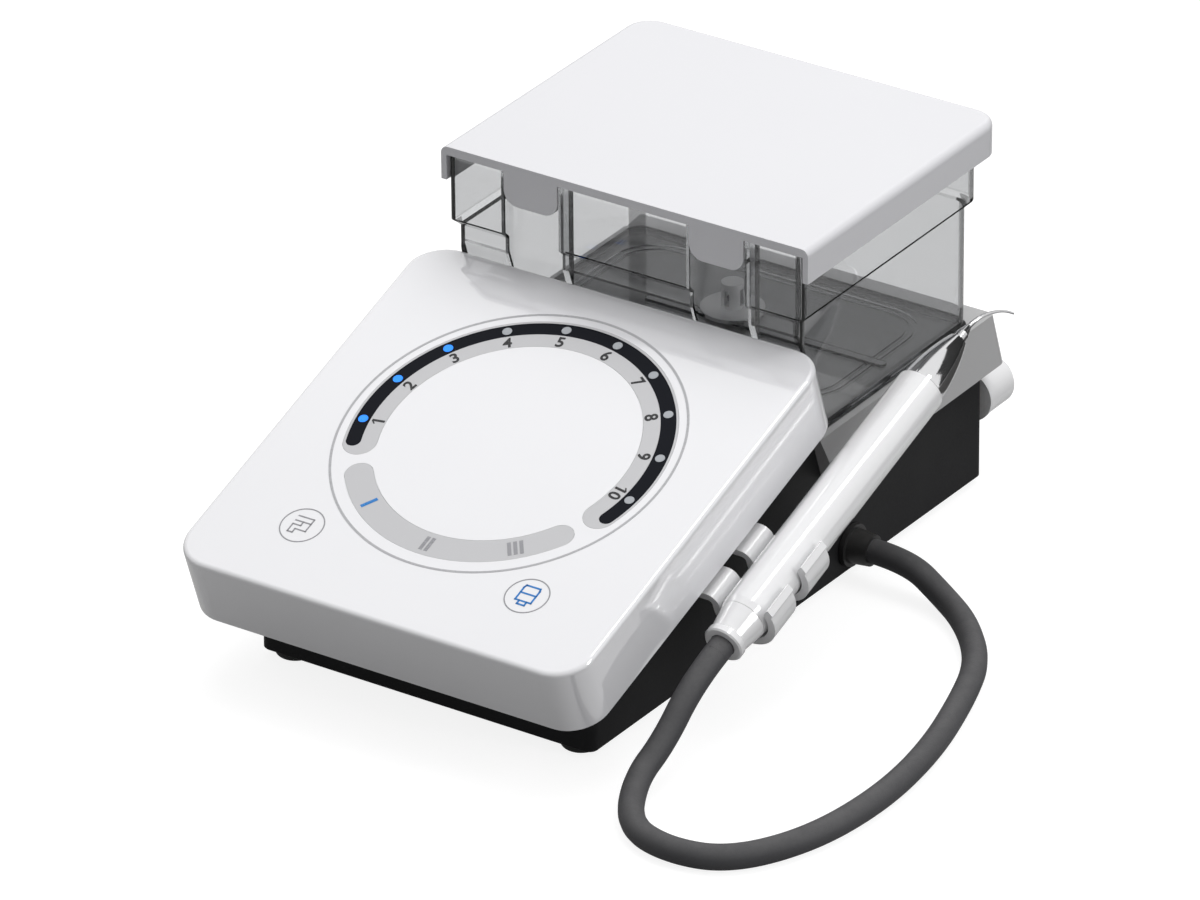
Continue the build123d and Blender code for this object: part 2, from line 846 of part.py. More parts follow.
# Valve seat under the deck: a cup that the tank's stem drops into, with a post and a side outlet
stem_bottom_z = tank_floor_under_z - valve_stem_length
seat_floor_z = stem_bottom_z - seat_clear_height
seat_bottom_z = seat_floor_z - seat_wall
seat_bore = valve_stem_radius + seat_gap
outlet_z = seat_floor_z + seat_bore / 2
with BuildPart() as valve_seat:
    with BuildSketch(level(seat_bottom_z)):
        with Locations((valve_x, valve_y)):
            Circle(seat_radius)
    extrude(amount=bay_floor_z - seat_bottom_z)
    with BuildSketch(level(deck_ceiling_z)):
        with Locations((valve_x, valve_y)):
            Circle(seat_flange_radius)
    extrude(amount=-seat_wall)
    with BuildSketch(sidewise(valve_x)):
        with Locations((valve_y, outlet_z)):
            Circle(nipple_radius)
    extrude(amount=seat_radius + nipple_length)
    with BuildSketch(level(seat_floor_z)):
        with Locations((valve_x, valve_y)):
            Circle(seat_bore)
    extrude(amount=bay_floor_z - seat_floor_z, mode=Mode.SUBTRACT)
    with BuildSketch(sidewise(valve_x)):
        with Locations((valve_y, outlet_z)):
            Circle(nipple_bore)
    extrude(amount=seat_radius + nipple_length, mode=Mode.SUBTRACT)
    with BuildSketch(level(seat_floor_z)):
        with Locations((valve_x, valve_y)):
            Circle(valve_pin_radius)
    extrude(amount=stem_bottom_z - seat_floor_z - fit_gap)
finish(valve_seat, "valve_seat")

# Tank valve body: a flange on the tank floor, an open post above it and a stem below
post_top_z = tank_floor_z + valve_post_height
chamber_bottom_z = tank_floor_z + valve_flange_thickness
poppet_rest_z = chamber_bottom_z + valve_pin_travel + inlay_gap
seal_z = (tank_floor_under_z + stem_bottom_z) / 2
with BuildPart() as tank_valve_body:
    with BuildSketch(level(tank_floor_z)):
        with Locations((valve_x, valve_y)):
            Circle(valve_flange_radius)
    extrude(amount=valve_flange_thickness)
    with BuildSketch(level(stem_bottom_z)):
        with Locations((valve_x, valve_y)):
            Circle(valve_stem_radius)
    extrude(amount=tank_floor_z - stem_bottom_z)
    with BuildSketch(level(chamber_bottom_z)):
        with Locations((valve_x, valve_y)):
            Circle(valve_post_radius)
    extrude(amount=post_top_z - chamber_bottom_z)
    with BuildSketch(level(stem_bottom_z)):
        with Locations((valve_x, valve_y)):
            Circle(valve_bore_radius)
    extrude(amount=chamber_bottom_z - stem_bottom_z, mode=Mode.SUBTRACT)
    with BuildSketch(level(chamber_bottom_z)):
        with Locations((valve_x, valve_y)):
            Circle(valve_post_radius - valve_post_wall)
    extrude(amount=valve_post_height - valve_flange_thickness - valve_post_wall, mode=Mode.SUBTRACT)
    with BuildSketch(level(chamber_bottom_z + valve_post_wall)):
        with Locations((valve_x, valve_y)):
            Rectangle(4 * valve_post_radius, valve_slot_width)
            Rectangle(valve_slot_width, 4 * valve_post_radius)
    extrude(amount=valve_post_height - valve_flange_thickness - 3 * valve_post_wall, mode=Mode.SUBTRACT)
    with BuildSketch(sidewise(valve_x)):
        with Locations((valve_y + valve_stem_radius, seal_z)):
            Rectangle(2 * seal_groove_depth, seal_groove_height)
    revolve(
        axis=Axis((casing_x + valve_x, valve_y, 0), (0, 0, 1)), revolution_arc=360, mode=Mode.SUBTRACT
    )
finish(tank_valve_body, "tank_valve_body")

# Sealing ring in the stem's groove
seal_wire = seal_groove_height / 2 - inlay_gap
seal_ring_radius = valve_stem_radius + seat_gap - 2 * inlay_gap - seal_wire
with BuildPart() as tank_seal:
    with BuildSketch(sidewise(valve_x)):
        with Locations((valve_y + seal_ring_radius, seal_z)):
            Circle(seal_wire)
    revolve(axis=Axis((casing_x + valve_x, valve_y, 0), (0, 0, 1)), revolution_arc=360)
finish(tank_seal, "tank_seal")

# Poppet: a head that closes the bore, on a pin that the seat's post lifts
with BuildPart() as tank_valve_pin:
    with BuildSketch(level(poppet_rest_z)):
        with Locations((valve_x, valve_y)):
            Circle(valve_pin_head_radius)
    extrude(amount=valve_pin_head_thickness)
    with BuildSketch(level(poppet_rest_z)):
        with Locations((valve_x, valve_y)):
            Circle(valve_pin_radius)
    extrude(amount=-(poppet_rest_z - stem_bottom_z))
finish(tank_valve_pin, "tank_valve_pin")

# Lid: open at the front, with skirts at the sides and rear and two tabs over the grip channels
lid_length = lid_rear_y - lid_front_y
lid_bottom_z = lid_top_z - lid_skirt
with BuildPart() as tank_lid:
    with BuildSketch(level(lid_bottom_z)) as lid_plan:
        with Locations((0, lid_front_y)):
            Rectangle(lid_width, lid_length, align=(Align.CENTER, Align.MIN))
        fillet(lid_plan.vertices().sort_by(Axis.Y)[-2:], lid_corner)
    extrude(amount=lid_skirt)
    top_edges = tank_lid.faces().sort_by(Axis.Z)[-1].edges()
    fillet(top_edges.sort_by(Axis.Y)[1:], lid_edge)
    with BuildSketch(level(lid_bottom_z)) as room_plan:
        with Locations((0, lid_front_y - lid_wall)):
            Rectangle(lid_width - 2 * lid_wall, lid_length, align=(Align.CENTER, Align.MIN))
        fillet(room_plan.vertices().sort_by(Axis.Y)[-2:], lid_corner - lid_wall)
    extrude(amount=lid_skirt - lid_top_thickness, mode=Mode.SUBTRACT)
    for side in (-1, 1):
        with BuildSketch(upright(lid_front_y + lid_wall)) as tab:
            with Locations((side * grip_x, tank_top_z)):
                Rectangle(tab_width, tank_top_z - tab_bottom_z, align=(Align.CENTER, Align.MAX))
            fillet(tab.vertices().sort_by(Axis.Y)[:2], tab_corner)
        extrude(amount=lid_wall)
finish(tank_lid, "tank_lid")

# Holder hooks: an arm out of the base wall, a cradle round the handpiece and a flared lip
cradle_radius = hook_inner_radius + hook_thickness / 2
cradle_left = handpiece_x - cradle_radius
arm_bend = handpiece_depth - hook_arm_depth - hook_bend_drop
for number, start in enumerate((hook_1_start, hook_2_start), start=1):
    root_x = base_half_width(panel_point(0, start, hook_arm_depth).Y) - base_wall - 2 * fit_gap
    hook_plane = Plane(
        origin=panel_point(0, start + hook_width, 0), x_dir=(1, 0, 0), z_dir=-up_panel
    )
    with BuildPart() as holder_hook:
        with BuildSketch(hook_plane):
            with BuildLine() as spine:
                arm = Line((root_x, -hook_arm_depth), (cradle_left - arm_bend, -hook_arm_depth))
                bend = JernArc(arm @ 1, (1, 0), arm_bend, -90)
                drop = Line(bend @ 1, (cradle_left, -handpiece_depth))
                cradle = JernArc(drop @ 1, (0, -1), cradle_radius, 180)
                lip = JernArc(cradle @ 1, (0, 1), lip_radius, lip_height_angle)
                JernArc(lip @ 1, lip % 1, flare_radius, -lip_flare_angle)
            trace(line_width=hook_thickness)
            with Locations((root_x, -hook_arm_depth)):
                Rectangle(
                    hook_flange_thickness, 3 * hook_thickness, align=(Align.MAX, Align.CENTER)
                )
        extrude(amount=hook_width)
    finish(holder_hook, f"holder_hook_{number}")

# Handpiece axis: profiles have their radius as local x and their place up the panel as local y
axis_plane = Plane(
    origin=panel_point(handpiece_x, 0, handpiece_depth), x_dir=(1, 0, 0), z_dir=out_of_panel
)
handpiece_axis = Axis(axis_plane.origin, up_panel)

# Tail connector: a ring round the cord, a flaring grip and a plug that enters the sleeve
cord_bore = cord_radius + inlay_gap
plug_end = tail_end + plug_length
with BuildPart() as tail_connector:
    with BuildSketch(axis_plane):
        with BuildLine():
            Polyline(
                (0, tail_start + tail_bore_length),
                (cord_bore, tail_start + tail_bore_length),
                (cord_bore, tail_start),
                (tail_ring_radius - tail_chamfer, tail_start),
                (tail_ring_radius, tail_start + tail_chamfer),
                (tail_ring_radius, tail_start + tail_ring_length),
                (tail_ring_radius - tail_chamfer, tail_start + tail_ring_length + tail_chamfer),
                (tail_radius, tail_end),
                (sleeve_bore - fit_gap, tail_end),
                (sleeve_bore - fit_gap, plug_end),
                (0, plug_end),
                (0, tail_start + tail_bore_length),
            )
        make_face()
    revolve(axis=handpiece_axis, revolution_arc=360)
finish(tail_connector, "tail_connector")

# The cord's moulded end in the tail
with BuildPart() as cord_boot:
    with BuildSketch(up_panel_plane(handpiece_x, tail_start - boot_length, handpiece_depth)):
        Circle(cord_radius)
    extrude(amount=boot_length + tail_bore_length)
finish(cord_boot, "cord_boot")

# Handpiece sleeve: a slim barrel, slightly waisted, with rounded rims
sleeve_start = tail_end + sleeve_gap
with BuildPart() as handpiece_sleeve:
    with BuildSketch(axis_plane):
        with BuildLine():
            Polyline(
                (sleeve_bore, sleeve_start),
                (tail_radius, sleeve_start),
                (sleeve_radius, sleeve_start + tail_ring_length),
                (sleeve_radius, sleeve_end - tail_chamfer),
                (sleeve_radius - tail_chamfer, sleeve_end),
                (sleeve_bore, sleeve_end),
                (sleeve_bore, sleeve_start),
            )
        make_face()
    revolve(axis=handpiece_axis, revolution_arc=360)
finish(handpiece_sleeve, "handpiece_sleeve")

# Nose cone: a rim, a long curved taper and a threaded neck inside the sleeve
with BuildPart() as nose_cone:
    with BuildSketch(axis_plane):
        with BuildLine():
            rim = Polyline(
                (nose_bore, sleeve_end - nose_neck_length),
                (sleeve_bore - spindle_gap, sleeve_end - nose_neck_length),
                (sleeve_bore - spindle_gap, sleeve_end),
                (nose_radius, sleeve_end),
                (nose_radius, sleeve_end + nose_rim_length),
            )
            ThreePointArc(
                rim @ 1,
                (
                    (nose_radius + nose_tip_radius) / 2 + nose_bulge,
                    (sleeve_end + nose_rim_length + nose_end) / 2,
                ),
                (nose_tip_radius, nose_end),
            )
            Polyline(
                (nose_tip_radius, nose_end),
                (nose_bore, nose_end),
                (nose_bore, sleeve_end - nose_neck_length),
            )
        make_face()
    revolve(axis=handpiece_axis, revolution_arc=360)
finish(nose_cone, "nose_cone")

# Horn: the stack's front mass, stepping down to the rod that carries the tip
rod_radius = nose_bore - fit_gap
with BuildPart() as horn:
    with BuildSketch(axis_plane):
        with BuildLine():
            Polyline(
                (0, horn_start),
                (horn_radius, horn_start),
                (horn_radius, horn_step),
                (rod_radius, horn_step + horn_radius),
                (rod_radius, nose_end),
                (stud_radius + spindle_gap, nose_end),
                (stud_radius + spindle_gap, nose_end - stud_length - fit_gap),
                (0, nose_end - stud_length - fit_gap),
                (0, horn_start),
            )
        make_face()
    revolve(axis=handpiece_axis, revolution_arc=360)
    with BuildSketch(axis_plane):
        for along in seal_places:
            with Locations((horn_radius, along)):
                Rectangle(2 * seal_groove_depth, seal_groove_height)
    revolve(axis=handpiece_axis, revolution_arc=360, mode=Mode.SUBTRACT)
    with BuildSketch(up_panel_plane(handpiece_x, horn_start, handpiece_depth)):
        Circle(stack_bolt_radius + spindle_gap)
    extrude(amount=stack_bolt_depth + fit_gap, mode=Mode.SUBTRACT)
finish(horn, "horn")

# Rings that seat the horn in the sleeve
horn_seal_wire = seal_groove_height / 2 - inlay_gap
horn_seal_radius = sleeve_bore - inlay_gap - horn_seal_wire
with BuildPart() as horn_seals:
    with BuildSketch(axis_plane):
        with Locations(*[(horn_seal_radius, along) for along in seal_places]):
            Circle(horn_seal_wire)
    revolve(axis=handpiece_axis, revolution_arc=360)
finish(horn_seals, "horn_seals")

# Piezo rings, one solid each, stacked face to face behind the horn
stack_length = ring_count * ring_thickness
stack_start = horn_start - stack_length
with BuildPart() as piezo_rings:
    for number in range(ring_count):
        with BuildSketch(
            up_panel_plane(handpiece_x, stack_start + number * ring_thickness, handpiece_depth)
        ):
            Circle(ring_radius)
            Circle(stack_bolt_radius + fit_gap, mode=Mode.SUBTRACT)
        extrude(amount=ring_thickness - spindle_gap)
finish(piezo_rings, "piezo_rings")

# Back mass behind the rings
with BuildPart() as back_mass:
    with BuildSketch(
        up_panel_plane(handpiece_x, stack_start - back_mass_length, handpiece_depth)
    ):
        Circle(horn_radius)
        Circle(stack_bolt_radius + fit_gap, mode=Mode.SUBTRACT)
    extrude(amount=back_mass_length - spindle_gap)
finish(back_mass, "back_mass")

# Bolt that clamps the back mass and the rings to the horn
with BuildPart() as stack_bolt:
    with BuildSketch(
        up_panel_plane(handpiece_x, stack_start - back_mass_length, handpiece_depth)
    ):
        Circle(stack_bolt_radius)
    extrude(amount=back_mass_length + stack_length + stack_bolt_depth)
    with BuildSketch(
        up_panel_plane(handpiece_x, stack_start - back_mass_length, handpiece_depth)
    ):
        Circle(2 * stack_bolt_radius)
    extrude(amount=-stack_bolt_radius)
finish(stack_bolt, "stack_bolt")

# Scaling tip: a wrench cone on a stud, then a neck that bends outward and thins to the working end
tip_base = nose_end + spindle_gap
neck_start = tip_base + tip_cone_length
tip_route = [
    axis_plane.from_local_coords(Vector(out, along, 0))
    for out, along in (
        (0, neck_start - tip_cone_length / 3),
        (tip_reach * 0.05, neck_start + tip_neck_length * 0.25),
        (tip_reach * 0.2, neck_start + tip_neck_length * 0.65),
        (tip_reach * 0.5, neck_start + tip_neck_length),
        (tip_reach, neck_start + tip_neck_length * 1.1),
    )
]
tip_curve = Spline(*tip_route, tangents=[up_panel, Vector(1, 0, 0)])
with BuildPart() as scaler_tip:
    with BuildSketch(axis_plane):
        with BuildLine():
            Polyline(
                (0, nose_end - stud_length),
                (stud_radius, nose_end - stud_length),
                (stud_radius, tip_base),
                (tip_shank_radius, tip_base),
                (tip_shank_radius, tip_base + tip_collar_length),
                (tip_neck_radius, neck_start),
                (0, neck_start),
                (0, nose_end - stud_length),
            )
        make_face()
    revolve(axis=handpiece_axis, revolution_arc=360)
    for number in range(tip_sections + 1):
        share = number / tip_sections
        section_radius = tip_neck_radius + share * (tip_end_radius - tip_neck_radius)
        section_plane = Plane(
            origin=tip_curve @ share, x_dir=out_of_panel, z_dir=tip_curve % share
        )
        with BuildSketch(section_plane):
            Circle(section_radius)
    loft()
finish(scaler_tip, "scaler_tip")

# Cord gland in the base's right wall
gland_face_x = gland_x + fit_gap + gland_flange_thickness
gland_end_x = gland_face_x + gland_length
with BuildPart() as cord_gland:
    with BuildSketch(sidewise(gland_x + fit_gap)):
        with Locations((gland_y, gland_z)):
            Circle(gland_flange_radius)
    extrude(amount=gland_flange_thickness)
    with BuildSketch(sidewise(gland_face_x)):
        with Locations((gland_y, gland_z)):
            Circle(gland_radius)
    extrude(amount=gland_length, taper=gland_taper)
    with BuildSketch(sidewise(gland_x - 2 * base_wall)):
        with Locations((gland_y, gland_z)):
            Circle(gland_neck_radius)
    extrude(amount=2 * base_wall + fit_gap)
    with BuildSketch(sidewise(gland_x - base_wall - 2 * fit_gap)):
        with Locations((gland_y, gland_z)):
            Circle(gland_nut_radius)
    extrude(amount=-gland_flange_thickness)
finish(cord_gland, "cord_gland")

# Handpiece cord: from the moulded end down to the table, round in a loop and back to the gland
cord_z = cord_radius + cord_floor_gap
cord_start = panel_point(handpiece_x, tail_start - boot_length, handpiece_depth)
first_corner = cord_start - first_cord_run * up_panel
cord_end = Vector(casing_x + gland_end_x, gland_y, gland_z)
cord_route = [
    cord_start,
    first_corner,
    Vector(90.2, -123.0, 16.5),
    Vector(89.2, -140.5, 8.5),
    Vector(101.8, -164.2, cord_z),
    Vector(123.3, -171.5, cord_z),
    Vector(146.4, -165.6, cord_z),
    Vector(162.6, -137.0, cord_z),
    Vector(168.0, -98.0, cord_z),
    Vector(164.4, -58.6, cord_z),
    Vector(154.0, -19.8, cord_z),
    Vector(143.6, 7.8, cord_z),
    Vector(124.4, 30.6, cord_z),
    Vector(105.0, 43.4, cord_z + 1.0),
    cord_end + Vector(last_cord_run, 0, 0),
    cord_end,
]
cord_runs = [(b - a) for a, b in zip(cord_route, cord_route[1:])]
cord_turns = [radians(a.get_angle(b)) for a, b in zip(cord_runs, cord_runs[1:])]
cord_radii = [
    cord_arc_share * min(a.length, b.length) / tan(turn / 2)
    for a, b, turn in zip(cord_runs, cord_runs[1:], cord_turns)
]
print("cord radii:", [round(radius, 1) for radius in cord_radii])
with BuildPart() as handpiece_cord:
    with BuildLine():
        cord_line = FilletPolyline(*cord_route, radius=cord_radii)
    with BuildSketch(Plane(origin=cord_start, z_dir=-up_panel)):
        Circle(cord_radius)
    sweep()
cord_length = cord_line.length
print("cord length:", round(cord_length, 1))
cord_section = pi * cord_radius**2
print("cord volume over section times length:", handpiece_cord.part.volume / (cord_section * cord_length))
finish(handpiece_cord, "handpiece_cord")

# Needle valve behind the water knob
valve_front_y = wall_y - needle_valve_setback - needle_valve_length
with BuildPart() as needle_valve:
    with BuildSketch(upright(valve_front_y)):
        with Locations((knob_x, knob_z)):
            Circle(needle_valve_radius)
    extrude(amount=-needle_valve_length)
    with BuildSketch(upright(valve_front_y)):
        with Locations((knob_x, knob_z)):
            Circle(valve_neck_radius)
    extrude(amount=-(base_rear_y + fit_gap - valve_front_y))
    with BuildSketch(upright(valve_front_y)):
        with Locations((knob_x, knob_z)):
            Circle(nipple_radius)
    extrude(amount=nipple_length)
    with BuildSketch(upright(base_rear_y + fit_gap)):
        with Locations((knob_x, knob_z)):
            Circle(spindle_radius + spindle_gap)
    extrude(amount=needle_valve_length, mode=Mode.SUBTRACT)
finish(needle_valve, "needle_valve")

# Spindle from the needle valve into the knob
spindle_start_y = base_rear_y + 2 * fit_gap - needle_valve_length
spindle_end_y = knob_start_y + knob_bore_depth
with BuildPart() as valve_spindle:
    with BuildSketch(upright(spindle_start_y)):
        with Locations((knob_x, knob_z)):
            Circle(spindle_radius)
    extrude(amount=-(spindle_end_y - spindle_start_y - spindle_gap))
finish(valve_spindle, "valve_spindle")

# Water knob: a smooth round grip with a rim at the wall
knob_plane = Plane(origin=(casing_x + knob_x, 0, knob_z), x_dir=(1, 0, 0), z_dir=(0, 0, 1))
knob_axis = Axis(knob_plane.origin, (0, 1, 0))
with BuildPart() as water_knob:
    with BuildSketch(knob_plane):
        with BuildLine():
            Polyline(
                (spindle_radius + spindle_gap, knob_start_y),
                (knob_radius, knob_start_y),
                (knob_radius, knob_start_y + knob_rim),
                (knob_radius - knob_rim / 4, knob_start_y + knob_rim),
                (knob_radius - knob_rim / 4, knob_end_y - knob_rim),
                (knob_radius - knob_rim, knob_end_y),
                (0, knob_end_y),
                (0, knob_start_y + knob_bore_depth),
                (spindle_radius + spindle_gap, knob_start_y + knob_bore_depth),
                (spindle_radius + spindle_gap, knob_start_y),
            )
        make_face()
    revolve(axis=knob_axis, revolution_arc=360)
finish(water_knob, "water_knob")

# Power inlet: a three-pin socket with two cut corners
with BuildPart() as power_inlet:
    with BuildSketch(upright(base_rear_y)):
        with Locations((inlet_x, socket_z)):
            RectangleRounded(
                inlet_width + 2 * inlet_rim, inlet_height + 2 * inlet_rim, inlet_rim
            )
    extrude(amount=-socket_flange)
    with BuildSketch(upright(base_rear_y)):
        with Locations((inlet_x, socket_z)):
            Rectangle(inlet_width, inlet_height)
    extrude(amount=inlet_depth)
    with BuildSketch(upright(base_rear_y + socket_flange)) as inlet_mouth:
        with Locations((inlet_x, socket_z)):
            Rectangle(inlet_width - 2 * inlet_wall, inlet_height - 2 * inlet_wall)
        chamfer(inlet_mouth.vertices().sort_by(Axis.Y)[-2:], inlet_cut_corner)
    extrude(amount=inlet_depth - inlet_wall + socket_flange, mode=Mode.SUBTRACT)
    with BuildSketch(upright(base_rear_y - inlet_depth)):
        with Locations(
            (inlet_x, socket_z + pin_rise),
            (inlet_x - pin_pitch / 2, socket_z - pin_rise),
            (inlet_x + pin_pitch / 2, socket_z - pin_rise),
        ):
            Rectangle(pin_thickness, pin_width)
    extrude(amount=-(inlet_depth - pin_setback))
finish(power_inlet, "power_inlet")

# Switch frame
rocker_radius = switch_height / 2 - switch_wall - fit_gap
rocker_pivot_y = base_rear_y - rocker_sink
with BuildPart() as switch_frame:
    with BuildSketch(upright(base_rear_y)):
        with Locations((switch_x, socket_z)):
            RectangleRounded(
                switch_width + 2 * switch_rim, switch_height + 2 * switch_rim, switch_rim
            )
    extrude(amount=-socket_flange)
    with BuildSketch(upright(base_rear_y)):
        with Locations((switch_x, socket_z)):
            Rectangle(switch_width, switch_height)
    extrude(amount=switch_depth)
    with BuildSketch(upright(base_rear_y + socket_flange)):
        with Locations((switch_x, socket_z)):
            Rectangle(switch_width - 2 * switch_wall, switch_height - 2 * switch_wall)
    extrude(amount=switch_depth + socket_flange - switch_wall, mode=Mode.SUBTRACT)
    with BuildSketch(sidewise(switch_x)):
        with Locations((rocker_pivot_y, socket_z)):
            Circle(rocker_pin_radius)
    extrude(amount=switch_width / 2 - switch_wall / 2, both=True)
finish(switch_frame, "switch_frame")

# Power rocker on its cross pin, resting with its lower half pressed in
rocker_half = radians(rocker_angle)
rocker_plane = Plane(
    origin=(casing_x + switch_x, rocker_pivot_y, socket_z),
    x_dir=(0, cos(rocker_half), -sin(rocker_half)),
    z_dir=(1, 0, 0),
)
rocker_face = rocker_sink
with BuildPart() as power_rocker:
    with BuildSketch(rocker_plane):
        Circle(rocker_radius)
        with BuildLine(mode=Mode.PRIVATE) as rocker_line:
            Polyline(
                (-rocker_radius, rocker_radius),
                (-rocker_radius, -rocker_radius),
                (rocker_face + rocker_radius * sin(rocker_half), -rocker_radius * cos(rocker_half)),
                (rocker_face - rocker_dish, 0),
                (rocker_face + rocker_radius * sin(rocker_half), rocker_radius * cos(rocker_half)),
                (-rocker_radius, rocker_radius),
            )
        make_face(rocker_line.edges(), mode=Mode.INTERSECT)
        Circle(rocker_pin_radius + spindle_gap, mode=Mode.SUBTRACT)
    extrude(amount=switch_width / 2 - switch_wall - fit_gap, both=True)
finish(power_rocker, "power_rocker")

# Foot control socket
with BuildPart() as foot_socket:
    with BuildSketch(upright(base_rear_y)):
        with Locations((foot_socket_x, socket_z)):
            Circle(foot_socket_radius + foot_socket_rim)
    extrude(amount=-socket_flange)
    with BuildSketch(upright(base_rear_y)):
        with Locations((foot_socket_x, socket_z)):
            Circle(foot_socket_radius)
    extrude(amount=foot_socket_depth + foot_socket_rim)
    with BuildSketch(upright(base_rear_y + socket_flange)):
        with Locations((foot_socket_x, socket_z)):
            Circle(foot_socket_bore)
    extrude(amount=foot_socket_depth, mode=Mode.SUBTRACT)
finish(foot_socket, "foot_socket")

# Transformer core: two outer limbs and a double centre limb round two windows
core_width = 6 * core_limb
window_height = transformer_height - 2 * core_yoke
window_z = base_floor_top + (transformer_height - window_height) / 2
with BuildPart() as transformer_core:
    with BuildSketch(upright(transformer_y + core_thickness / 2)):
        with Locations((0, base_floor_top + transformer_height / 2)):
            Rectangle(core_width, transformer_height)
            with GridLocations(3 * core_limb, 1, 2, 1):
                Rectangle(core_limb, window_height, mode=Mode.SUBTRACT)
    extrude(amount=core_thickness)
finish(transformer_core, "transformer_core")

# Winding round the centre limb
with BuildPart() as transformer_winding:
    with BuildSketch(level(window_z + fit_gap)):
        with Locations((0, transformer_y)):
            RectangleRounded(
                4 * core_limb - 2 * fit_gap, core_thickness + 2 * winding_overhang, core_limb / 2
            )
            Rectangle(2 * core_limb + 2 * fit_gap, core_thickness + 2 * fit_gap, mode=Mode.SUBTRACT)
    extrude(amount=window_height - 2 * fit_gap)
finish(transformer_winding, "transformer_winding")

# Main board on its posts, with a row of driver parts, a coil and plugs
board_z = base_floor_top + board_post_height
board_top_z = board_z + board_thickness
with BuildPart() as main_board:
    with BuildSketch(level(board_z)):
        with Locations((main_board_x, main_board_y)):
            RectangleRounded(main_board_width, main_board_length, board_corner)
        board_posts(board_hole_radius, Mode.SUBTRACT)
    extrude(amount=board_thickness)
    with BuildSketch(level(board_top_z)):
        with Locations((main_board_x - plug_x, main_board_y + plug_y)):
            Rectangle(driver_row_length, driver_row_width)
        with Locations((main_board_x + plug_x, main_board_y + plug_y)):
            Rectangle(coil_width, coil_width)
    extrude(amount=coil_height)
    with BuildSketch(level(board_top_z)):
        with Locations((main_board_x, main_board_y)):
            with GridLocations(capacitor_pitch, capacitor_pitch, 3, 1):
                Circle(capacitor_radius)
        with Locations(
            (main_board_x - plug_x, main_board_y - plug_y),
            (main_board_x + plug_x, main_board_y - plug_y),
        ):
            Rectangle(plug_length, plug_width)
    extrude(amount=capacitor_height)
finish(main_board, "main_board")

# Screws that hold the main board to its posts
with BuildPart() as main_board_screws:
    with BuildSketch(level(board_top_z)):
        board_posts(screw_head_radius)
    extrude(amount=screw_head_height)
    with BuildSketch(level(board_top_z)):
        board_posts(screw_radius)
    extrude(amount=-(board_thickness + board_post_height - fit_gap))
finish(main_board_screws, "main_board_screws")

# Pump head: a round housing on a foot, open to the rear, with two nipples on top
head_y = pump_y + pump_motor_length
head_rear_y = head_y + pump_head_length
nipple_y = (head_y + head_rear_y) / 2
rotor_room = roller_circle + roller_radius + fit_gap
with BuildPart() as pump_head:
    with BuildSketch(upright(head_y)):
        with Locations((pump_x, pump_z)):
            Circle(pump_head_radius)
        with Locations((pump_x, base_floor_top)):
            Rectangle(pump_foot_width, pump_z - base_floor_top, align=(Align.CENTER, Align.MIN))
    extrude(amount=-pump_head_length)
    with BuildSketch(level(pump_z)):
        with Locations((pump_x - pump_nipple_x, nipple_y), (pump_x + pump_nipple_x, nipple_y)):
            Circle(nipple_radius)
    extrude(amount=pump_nipple_top_z - pump_z)
    with BuildSketch(upright(head_rear_y)):
        with Locations((pump_x, pump_z)):
            Circle(rotor_room)
    extrude(amount=pump_head_length - pump_head_wall, mode=Mode.SUBTRACT)
    with BuildSketch(upright(head_y)):
        with Locations((pump_x, pump_z)):
            Circle(shaft_radius + fit_gap)
    extrude(amount=-pump_head_length, mode=Mode.SUBTRACT)
    with BuildSketch(level(pump_z)):
        with Locations((pump_x - pump_nipple_x, nipple_y), (pump_x + pump_nipple_x, nipple_y)):
            Circle(nipple_bore)
    extrude(amount=pump_nipple_top_z - pump_z, mode=Mode.SUBTRACT)
finish(pump_head, "pump_head")

# Pump cover, flat on the housing's rear
with BuildPart() as pump_cover:
    with BuildSketch(upright(head_rear_y)):
        with Locations((pump_x, pump_z)):
            Circle(pump_head_radius)
    extrude(amount=-pump_cover_thickness)
finish(pump_cover, "pump_cover")

# Pump motor in front of the head
with BuildPart() as pump_motor:
    with BuildSketch(upright(pump_y)):
        with Locations((pump_x, pump_z)):
            Circle(pump_motor_radius)
    extrude(amount=-pump_motor_length)
    chamfer(pump_motor.edges().filter_by(GeomType.CIRCLE), 1)
finish(pump_motor, "pump_motor")

# Rotor: a hub plate with three rollers on the motor's shaft
rotor_front_y = head_y + pump_head_wall + fit_gap
with BuildPart() as pump_rotor:
    with BuildSketch(upright(rotor_front_y)):
        with Locations((pump_x, pump_z)):
            Circle(rotor_radius)
            with PolarLocations(roller_circle, roller_count):
                Circle(roller_radius)
    extrude(amount=-(pump_head_length - pump_head_wall - 2 * fit_gap))
    with BuildSketch(upright(rotor_front_y)):
        with Locations((pump_x, pump_z)):
            Circle(shaft_radius)
    extrude(amount=pump_head_wall)
finish(pump_rotor, "pump_rotor")


def hose(name, route):
    """A hose of the nipples' size along straight runs and arcs, from face to face."""
    with BuildPart() as tube:
        with BuildLine():
            FilletPolyline(*route, radius=hose_bend)
        with BuildSketch(Plane(origin=route[0], z_dir=route[1] - route[0])):
            Circle(nipple_radius)
        sweep()
    finish(tube, name)


